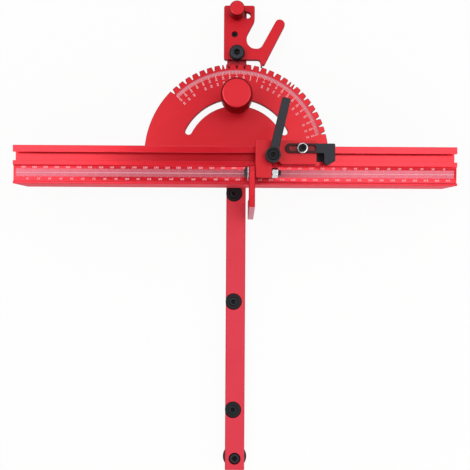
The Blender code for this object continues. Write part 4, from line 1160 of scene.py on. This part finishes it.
@dataclass(frozen=True)
class GuideBar:
    """Guide bar with its expansion discs, its foot and the pivot screws."""

    disc_count: int = 3
    disc_bore: float = 0.0056
    disc_recess: float = 0.0084
    disc_recess_depth: float = 0.0034
    disc_rim: float = 0.0008
    disc_lip: float = 0.0006
    foot_bore: float = 0.0046
    shoulder_end: float = 0.0098

    def build(self) -> None:
        """Build the bar and all that is fixed to it."""
        Plain("miter_bar", Body.BAR, Slot.RED, RED_DRAWN_Y, RED_SIDE_PAINTED_SHADE, RED_SIDE_PAINTED_SHADE, rounding=0.00012).build()
        for number in range(1, self.disc_count + 1):
            self._disc(f"expansion_disc_{number}")
            SocketScrew(f"disc_screw_{number}", Body.BAR, shank=0.005, head_height=0.003, socket=0.004,
                        socket_depth=0.0022).build()
        Washer("slot_foot", Body.BAR, self.foot_bore, Slot.OXIDE, OXIDE, rim=0.0004).build()
        SocketScrew("slot_foot_screw", Body.BAR, shank=0.004, head_height=0.004, socket=0.004,
                    socket_depth=0.0025).build()
        SocketScrew("pivot_screw", Body.BAR, shank=0.006, head_height=0.0026, socket=0.005,
                    socket_depth=0.002, rim=0.0005,
                    shoulder=0.009, shoulder_end=self.shoulder_end).build()
        SocketScrew("index_pivot_screw", Body.BAR, shank=0.006, head_height=0.008, socket=0.005,
                    socket_depth=0.004, rim=0.0026,
                    shoulder=0.0072, shoulder_end=self.shoulder_end).build()

    def _disc(self, node: str) -> None:
        """Expansion disc: a ring with a recess for its screw and a lip round it.

        Args:
            node: Name of its CAD node.
        """
        room = Room.of(node)
        floor = room.top - self.disc_recess_depth
        bore, recess, soft = self.disc_bore / 2, self.disc_recess / 2, self.disc_lip / 2
        NodePiece(node, Body.BAR).turn(Slot.MOULDED, room, [
            Corner(bore, room.bottom), Corner(room.radius, room.bottom, self.disc_rim),
            Corner(room.radius, room.top, self.disc_rim), Corner(recess + self.disc_lip, room.top, soft),
            Corner(recess, room.top - soft), Corner(recess, floor), Corner(bore, floor),
        ], DISC, ring=True)


@dataclass(frozen=True)
class Protractor:
    """Protractor plate with its engraved double scale of degrees."""

    zero: float = 15.0
    first: int = -45
    last: int = 75
    band_radius: float = 0.0814
    band_width: float = 0.0020
    band_sink: float = 0.00001
    degree_end: float = 0.0786
    five_end: float = 0.0775
    long_degrees: tuple[int, ...] = (10, 15)
    long_end: float = 0.0735
    degree_width: float = 0.00045
    five_width: float = 0.0006
    number_step: int = 5
    outer_numbers: float = 0.0757
    inner_numbers: float = 0.0709
    number_height: float = 0.0018
    number_weight: float = 0.00009

    def build(self) -> None:
        """Build the plate and its scale."""
        Plain("protractor_plate", Body.HEAD, Slot.RED, RED_PLATE, RED_SIDE_PAINTED_SHADE, RED_SIDE_PAINTED_SHADE,
              rounding=0.00035).build()
        level = Room.of("protractor_plate").high.z
        band = Engraving()
        band.arc(Spindle(0.0, 0.0), self.band_radius, self.band_width, self.first, self.last,
                 level - self.band_sink)
        band.build("degree_band", Body.HEAD, SCALE_BAND)
        scale = Engraving()
        degrees = np.arange(self.first, self.last + 1)
        numbered = degrees % self.number_step == 0
        fives = np.setdiff1d(degrees[numbered], self.long_degrees)
        self._ticks(scale, degrees[~numbered], self.degree_end, self.degree_width, level)
        self._ticks(scale, fives, self.five_end, self.five_width, level)
        self._ticks(scale, np.array(self.long_degrees), self.long_end, self.five_width, level)
        self._numbers(scale, fives, level)
        scale.build("degree_scale", Body.HEAD)

    def _ticks(self, scale: Engraving, degrees: np.ndarray, end: float, width: float, level: float) -> None:
        """Radial strokes from the scale's band inwards."""
        scale.strokes(clock_points(end, degrees), clock_points(self.band_radius, degrees), width, level)

    def _numbers(self, scale: Engraving, degrees: np.ndarray, level: float) -> None:
        """Numbers that read outwards along the strokes.

        Outer ones count from the zero, and inner ones count back from a right angle.

        Args:
            scale: Engraving that they are added to.
            degrees: Their angles, clockwise from Y.
            level: Level of the metal.
        """
        case = GlyphCase(self.number_height, self.number_weight)
        for degree in degrees:
            reading = abs(round(float(degree) - self.zero))
            rings = [(self.outer_numbers, reading)]
            if reading != RIGHT_ANGLE - reading:
                rings.append((self.inner_numbers, RIGHT_ANGLE - reading))
            for radius, number in rings:
                x, y = clock_points(radius, np.array([float(degree)]))[0]
                scale.number(case, number, (x, y, level), heading=float(degree) - RIGHT_ANGLE)


@dataclass(frozen=True)
class Fence:
    """Fence extrusion with its rule, nuts and countersunk screws."""

    valley_depth: float = 0.002
    middle_y: float = -0.0202
    middle_width: float = 0.0004
    band_width: float = 0.0072
    band_sink: float = 0.00001
    tick_reach: float = 0.0033
    long_tick_reach: float = 0.0039
    tick_width: float = 0.00014
    tick_pitch: float = 0.001
    first_tick: float = -0.1982
    tick_count: int = 395
    long_tick_step: int = 5
    number_start: float = -0.1922
    number_pitch: float = 0.010
    number_count: int = 39
    number_step: int = 10
    number_height: float = 0.0016
    number_weight: float = 0.00007
    lower_shift: float = 0.0036
    upper_y: float = -0.0153
    lower_y: float = -0.0257
    screw_shank: float = 0.005
    screw_head_height: float = 0.00255
    screw_edge: float = 0.00015
    screw_socket: float = 0.003
    screw_socket_depth: float = 0.00204

    def build(self) -> None:
        """Build the extrusion, its rule and its fixings."""
        Plain("fence", Body.HEAD, Slot.RED, RED_DRAWN_X, RED_FRONT_PAINTED_REFLECTION, RED_FRONT_PAINTED_REFLECTION, rounding=0.0002).build()
        self._rule()
        for number in (1, 2):
            Plain(f"fence_nut_{number}", Body.HEAD, Slot.ZINC, ZINC, ZINC, ZINC, rounding=0.0002).build()
            self._screw(f"fence_screw_{number}")

    def _rule(self) -> None:
        """Etched band with millimetre strokes from a middle line, and two rows of numbers."""
        floor = Room.of("fence").high.z - self.valley_depth
        rule = Engraving()
        index = np.arange(self.tick_count)
        x = self.first_tick + index * self.tick_pitch
        first_number = round((self.number_start - self.first_tick) / self.tick_pitch)
        long = (index - first_number) % self.long_tick_step == 0
        reach = np.where(long, self.long_tick_reach, self.tick_reach)
        starts = np.stack((x, self.middle_y - reach), axis=-1)
        ends = np.stack((x, self.middle_y + reach), axis=-1)
        rule.strokes(starts, ends, self.tick_width, floor)
        line = np.array(((x[0] - self.tick_pitch, self.middle_y), (x[-1] + self.tick_pitch, self.middle_y)))
        rule.strokes(line[:1], line[1:], self.middle_width, floor)
        band = Engraving()
        band.strokes(line[:1], line[1:], self.band_width, floor - self.band_sink)
        band.build("fence_band", Body.HEAD, ETCHED)
        case = GlyphCase(self.number_height, self.number_weight)
        for number in range(self.number_count):
            place = self.number_start + number * self.number_pitch
            rising, falling = (number + 1) * self.number_step, (self.number_count - number) * self.number_step
            rule.number(case, falling, (place, self.upper_y, floor))
            rule.number(case, rising, (place + self.lower_shift, self.lower_y, floor))
        rule.build("fence_rule", Body.HEAD)

    def _screw(self, node: str) -> None:
        """Countersunk screw, head down, with its socket from below.

        Args:
            node: Name of its CAD node.
        """
        room = Room.of(node)
        low, shank = room.bottom, self.screw_shank / 2
        NodePiece(node, Body.HEAD).turn(Slot.OXIDE, room, [
            Corner(0.0, low + self.screw_socket_depth),
            *reversed(socket_corners(self.screw_socket, low, self.screw_socket_depth)),
            Corner(room.radius, low), Corner(room.radius, low + self.screw_edge),
            Corner(shank, low + self.screw_head_height), Corner(shank, room.top, SOCKET_CHAMFER),
            Corner(0.0, room.top),
        ], OXIDE, steps=SMALL_ROUND_STEPS)


@dataclass(frozen=True)
class HeadClamp:
    """Large knob with its washer and stud."""

    neck: float = 0.019
    barrel_bottom: float = 0.032
    bore: float = 0.0066
    bore_top: float = 0.0279
    rim: float = 0.003

    def build(self) -> None:
        """Build the knob, the washer and the stud."""
        Knob("clamp_knob", Body.CLAMP_KNOB, self.neck, self.barrel_bottom, self.bore, self.bore_top,
             self.rim).build()
        Washer("clamp_washer", Body.CLAMP_KNOB, self.bore, Slot.MOULDED, MOULDED, rim=0.0003).build()
        Stud("clamp_stud", Body.CLAMP_KNOB, pitch=0.001, depth=0.0004).build()


@dataclass(frozen=True)
class IndexLever:
    """Index lever with its set screw, lock knob and stud."""

    neck: float = 0.0095
    barrel_bottom: float = 0.018
    bore: float = 0.0056
    bore_top: float = 0.0244
    rim: float = 0.0015

    def build(self) -> None:
        """Build the lever, its set screw and its lock knob."""
        Plain("index_lever", Body.INDEX_LEVER, Slot.RED, RED_PLATE, RED_SIDE_PAINTED_SHADE, RED_SIDE_PAINTED_SHADE,
              rounding=0.0003).build()
        SocketScrew("index_set_screw", Body.INDEX_LEVER, shank=0.005, head_height=0.001, socket=0.0025,
                    socket_depth=0.002, rim=0.0003).build()
        Knob("index_knob", Body.INDEX_KNOB, self.neck, self.barrel_bottom, self.bore, self.bore_top,
             self.rim).build()
        Stud("index_stud", Body.INDEX_KNOB).build()


@dataclass(frozen=True)
class StopCarriage:
    """Carriage on the fence with its slider, axle and pointer screw."""

    axle_diameter: float = 0.005
    axle_head_height: float = 0.0026
    axle_face_share: float = 0.62
    axle_face_rim: float = 0.0005
    axle_crown: float = 0.0008
    axle_crown_rim: float = 0.0009
    axle_socket: float = 0.004
    axle_socket_depth: float = 0.00182
    axle_pitch: float = 0.0008
    axle_thread_depth: float = 0.0004
    axle_thread_length: float = 0.0125
    washer_bore: float = 0.0056
    nut_chamfer_slope: float = 0.6
    pointer_bore: float = 0.0046

    def build(self) -> None:
        """Build the carriage and all that is fixed to it."""
        Plain("stop_carriage", Body.CARRIAGE, Slot.RED, RED_CARRIAGE, RED_SIDE_PAINTED_SHADE, RED_CARRIAGE,
              rounding=0.0002).build()
        Plain("track_slider", Body.CARRIAGE, Slot.OXIDE, OXIDE, OXIDE, OXIDE_EDGE, rounding=0.0003).build()
        self._axle_screw()
        self._axle_nut()
        Washer("axle_washer", Body.CARRIAGE, self.washer_bore, Slot.ZINC, ZINC, along_x=True).build()
        Washer("pointer_washer", Body.CARRIAGE, self.pointer_bore, Slot.ZINC, ZINC).build()
        SocketScrew("pointer_screw", Body.CARRIAGE, shank=0.004, head_height=0.004, socket=0.003,
                    socket_depth=0.002, rim=0.0008, top=DISC).build()

    def _axle_screw(self) -> None:
        """Button head screw along X, with its thread at the nut's end."""
        room = Room.of("axle_screw", along_x=True)
        left, right, shank = room.bottom, room.top, self.axle_diameter / 2
        under = left + self.axle_head_height
        thread = Thread(right - self.axle_thread_length, right - SCREW_CHAMFER, self.axle_pitch,
                        self.axle_thread_depth)
        NodePiece("axle_screw", Body.CARRIAGE).turn(Slot.OXIDE, room, [
            Corner(0.0, left + self.axle_socket_depth),
            *reversed(socket_corners(self.axle_socket, left, self.axle_socket_depth)),
            Corner(room.radius * self.axle_face_share, left, self.axle_face_rim),
            Corner(room.radius, under - self.axle_crown, self.axle_crown_rim), Corner(room.radius, under),
            Corner(shank, under), *thread.rows(shank), Corner(shank - SCREW_CHAMFER, right),
            Corner(0.0, right),
        ], OXIDE, thread=thread)

    def _axle_nut(self) -> None:
        """Hexagon nut whose corners are cut by a cone at both ends.

        The radius is the smaller of the hexagon's and of a cone that opens from
        the face inwards.
        """
        room = Room.of("axle_nut", along_x=True)
        tall = (room.high.z - room.low.z) / 2
        flat = min(tall, room.radius)
        turn_back = math.pi / 6 if tall < room.radius else 0.0
        depth = np.linspace(0.0, NUT_CONE_DEPTH, NUT_CONE_ROWS)[:, None]
        depth = np.concatenate((depth, depth[::-1]))
        inwards = np.repeat((1.0, -1.0), NUT_CONE_ROWS)[:, None]
        level = np.where(inwards > 0.0, room.bottom, room.top) + inwards * depth
        angle = np.arange(ROUND_STEPS) * (math.tau / ROUND_STEPS)
        cone = flat * NUT_FACE_SHARE + depth / self.nut_chamfer_slope
        outer = np.minimum(flat * hexagon_stretch(angle + turn_back)[None, :], cone)
        radius = np.concatenate((outer, np.full((2, ROUND_STEPS), self.washer_bore / 2)))
        levels = np.concatenate((level, ((room.top,), (room.bottom,))))
        piece = mesh_object("axle_nut_finished", room.spindle.points(radius, angle, levels),
                            grid_faces(len(radius), ROUND_STEPS, ring=True))
        smooth(piece)
        dress(piece, ZINC.material(room.spindle))
        seat(piece, Body.CARRIAGE, Slot.ZINC, "axle_nut")


@dataclass(frozen=True)
class ClampLever:
    """Clamp lever with its cap screw and stud."""

    def build(self) -> None:
        """Build the lever and its fixings."""
        body = Body.CLAMP_LEVER
        Plain("clamp_lever", body, Slot.MOULDED, MOULDED, MOULDED_EDGE_PAINTED_SHADE, MOULDED_EDGE_PAINTED_SHADE, rounding=0.0003).build()
        SocketScrew("clamp_lever_screw", body, shank=0.005, head_height=0.0038, socket=0.004,
                    socket_depth=0.0024, rim=0.0008, top=DISC).build()
        Stud("clamp_lever_stud", body).build()


@dataclass(frozen=True)
class FlipStop:
    """Flip arm and the pointer over the rule."""

    def build(self) -> None:
        """Build the arm and the pointer."""
        arm = Plain("flip_arm", Body.FLIP_ARM, Slot.RED, RED_PLATE, RED_SIDE_PAINTED_SHADE, RED_SIDE_PAINTED_SHADE,
                    rounding=0.0002).build()
        # Faces of the arm turned towards -Y take the pale pink painted reflection.
        arm.data.materials.append(FRONT_PAINTED_REFLECTION.material())
        paint_faces(arm, material=3, axis=1, low=-math.inf, high=-UPRIGHT)
        Plain("scale_pointer", Body.POINTER, Slot.MOULDED, MOULDED_WITH_PAINTED_SHADE, MOULDED_EDGE_PAINTED_SHADE, MOULDED_EDGE_PAINTED_SHADE,
              rounding=0.0002).build()


@dataclass(frozen=True)
class Studio:
    """Pale floor, soft light and the camera of the photograph."""

    picture_width: float = 470.0
    focal_pixels: float = 670.7
    sensor: float = 36.0
    camera_x: float = -0.0008
    camera_y: float = -0.0731
    camera_height: float = 0.660
    camera_turn: float = 0.33
    nadir_above_middle: float = 3.0
    floor_size: float = 6.0
    floor_level: float = -0.0001
    world_strength: float = 1.0
    zenith_strength: float = 0.06
    zenith_power: float = 4.0

    def build(self) -> None:
        """Set the view, the camera, the floor, the world and the lamps."""
        bpy.context.scene.view_settings.view_transform = "Standard"
        self._camera()
        self._floor()
        self._world()
        self._lamp("lamp_left", (-0.78, 0.15, 1.5), size=0.8, watts=6.6)
        self._lamp("lamp_right", (0.5, 0.2, 1.6), size=0.6, watts=4.0)
        self._lamp("lamp_front", (0.55, -0.5, 0.2), size=0.3, watts=1.1)

    def _camera(self) -> None:
        """Camera straight above, with the small shift of the photograph's frame."""
        data = bpy.data.cameras.new("camera")
        data.sensor_width = self.sensor
        data.lens = self.focal_pixels * self.sensor / self.picture_width
        data.shift_y = -self.nadir_above_middle / self.picture_width
        camera = new_object("camera", data)
        camera.location = (self.camera_x, self.camera_y, self.camera_height)
        camera.rotation_euler = (0.0, 0.0, math.radians(self.camera_turn))
        bpy.context.scene.camera = camera

    def _floor(self) -> None:
        """Large pale floor that keeps a faint shadow and is seen as white."""
        half = self.floor_size / 2
        points = np.array(((-half, -half), (half, -half), (half, half), (-half, half)))
        points = np.concatenate((points, np.full((4, 1), self.floor_level)), axis=1)
        mesh = bpy.data.meshes.new("floor")
        mesh.from_pydata(points, [], [(0, 1, 2, 3)])
        floor = new_object("floor", mesh)
        recipe = Recipe(bpy.data.materials.new("floor_white"))
        ray = recipe.node("LightPath")
        seen = Value(recipe, ray.outputs["Is Camera Ray"]) + Value(recipe, ray.outputs["Is Glossy Ray"])
        seen = (seen + Value(recipe, ray.outputs["Is Transmission Ray"])).clamped() * FLOOR_GLOW
        matt = recipe.node("BsdfDiffuse", {}, {"Color": (*FLOOR_COLOUR, 1.0)})
        glow = recipe.node("Emission", {}, {"Color": WHITE, "Strength": 1.0})
        mixer = recipe.node("MixShader", {}, {0: seen, 1: matt.outputs[0], 2: glow.outputs[0]})
        dress(floor, recipe.finish(mixer))

    def _world(self) -> None:
        """Pale surroundings, darker straight above.

        The strength falls with a high power of the direction's Z.
        """
        world = bpy.data.worlds.new("studio")
        recipe = Recipe(world)
        direction = recipe.node("TexCoord").outputs["Generated"]
        rise = Value(recipe, recipe.node("SeparateXYZ", {}, {0: direction}).outputs["Z"])
        drop = self.world_strength - self.zenith_strength
        strength = self.world_strength - rise ** self.zenith_power * drop
        shade = recipe.node("Background", {}, {"Color": WHITE, "Strength": strength})
        recipe.node("OutputWorld", {}, {"Surface": shade.outputs[0]})
        bpy.context.scene.world = world

    def _lamp(self, name: str, place: Sequence[float], size: float, watts: float) -> None:
        """Square soft lamp aimed at the object.

        Args:
            name: Its name.
            place: Where it hangs.
            size: Length of its sides.
            watts: Its power.
        """
        data = bpy.data.lights.new(name, "AREA")
        data.size = size
        data.energy = watts
        lamp = new_object(name, data)
        lamp.location = place
        aim = Vector((self.camera_x, self.camera_y, 0.0)) - lamp.location
        lamp.rotation_euler = aim.to_track_quat("-Z", "Y").to_euler()


def main() -> None:
    """Build every sub-assembly in order, then the studio."""
    logging.basicConfig(level=logging.INFO, format="%(message)s")
    for assembly in (GuideBar(), Protractor(), Fence(), HeadClamp(), IndexLever(), StopCarriage(),
                     ClampLever(), FlipStop(), Studio()):
        assembly.build()
        LOG.info("%s done", type(assembly).__name__)


if __name__ == "__main__":
    main()
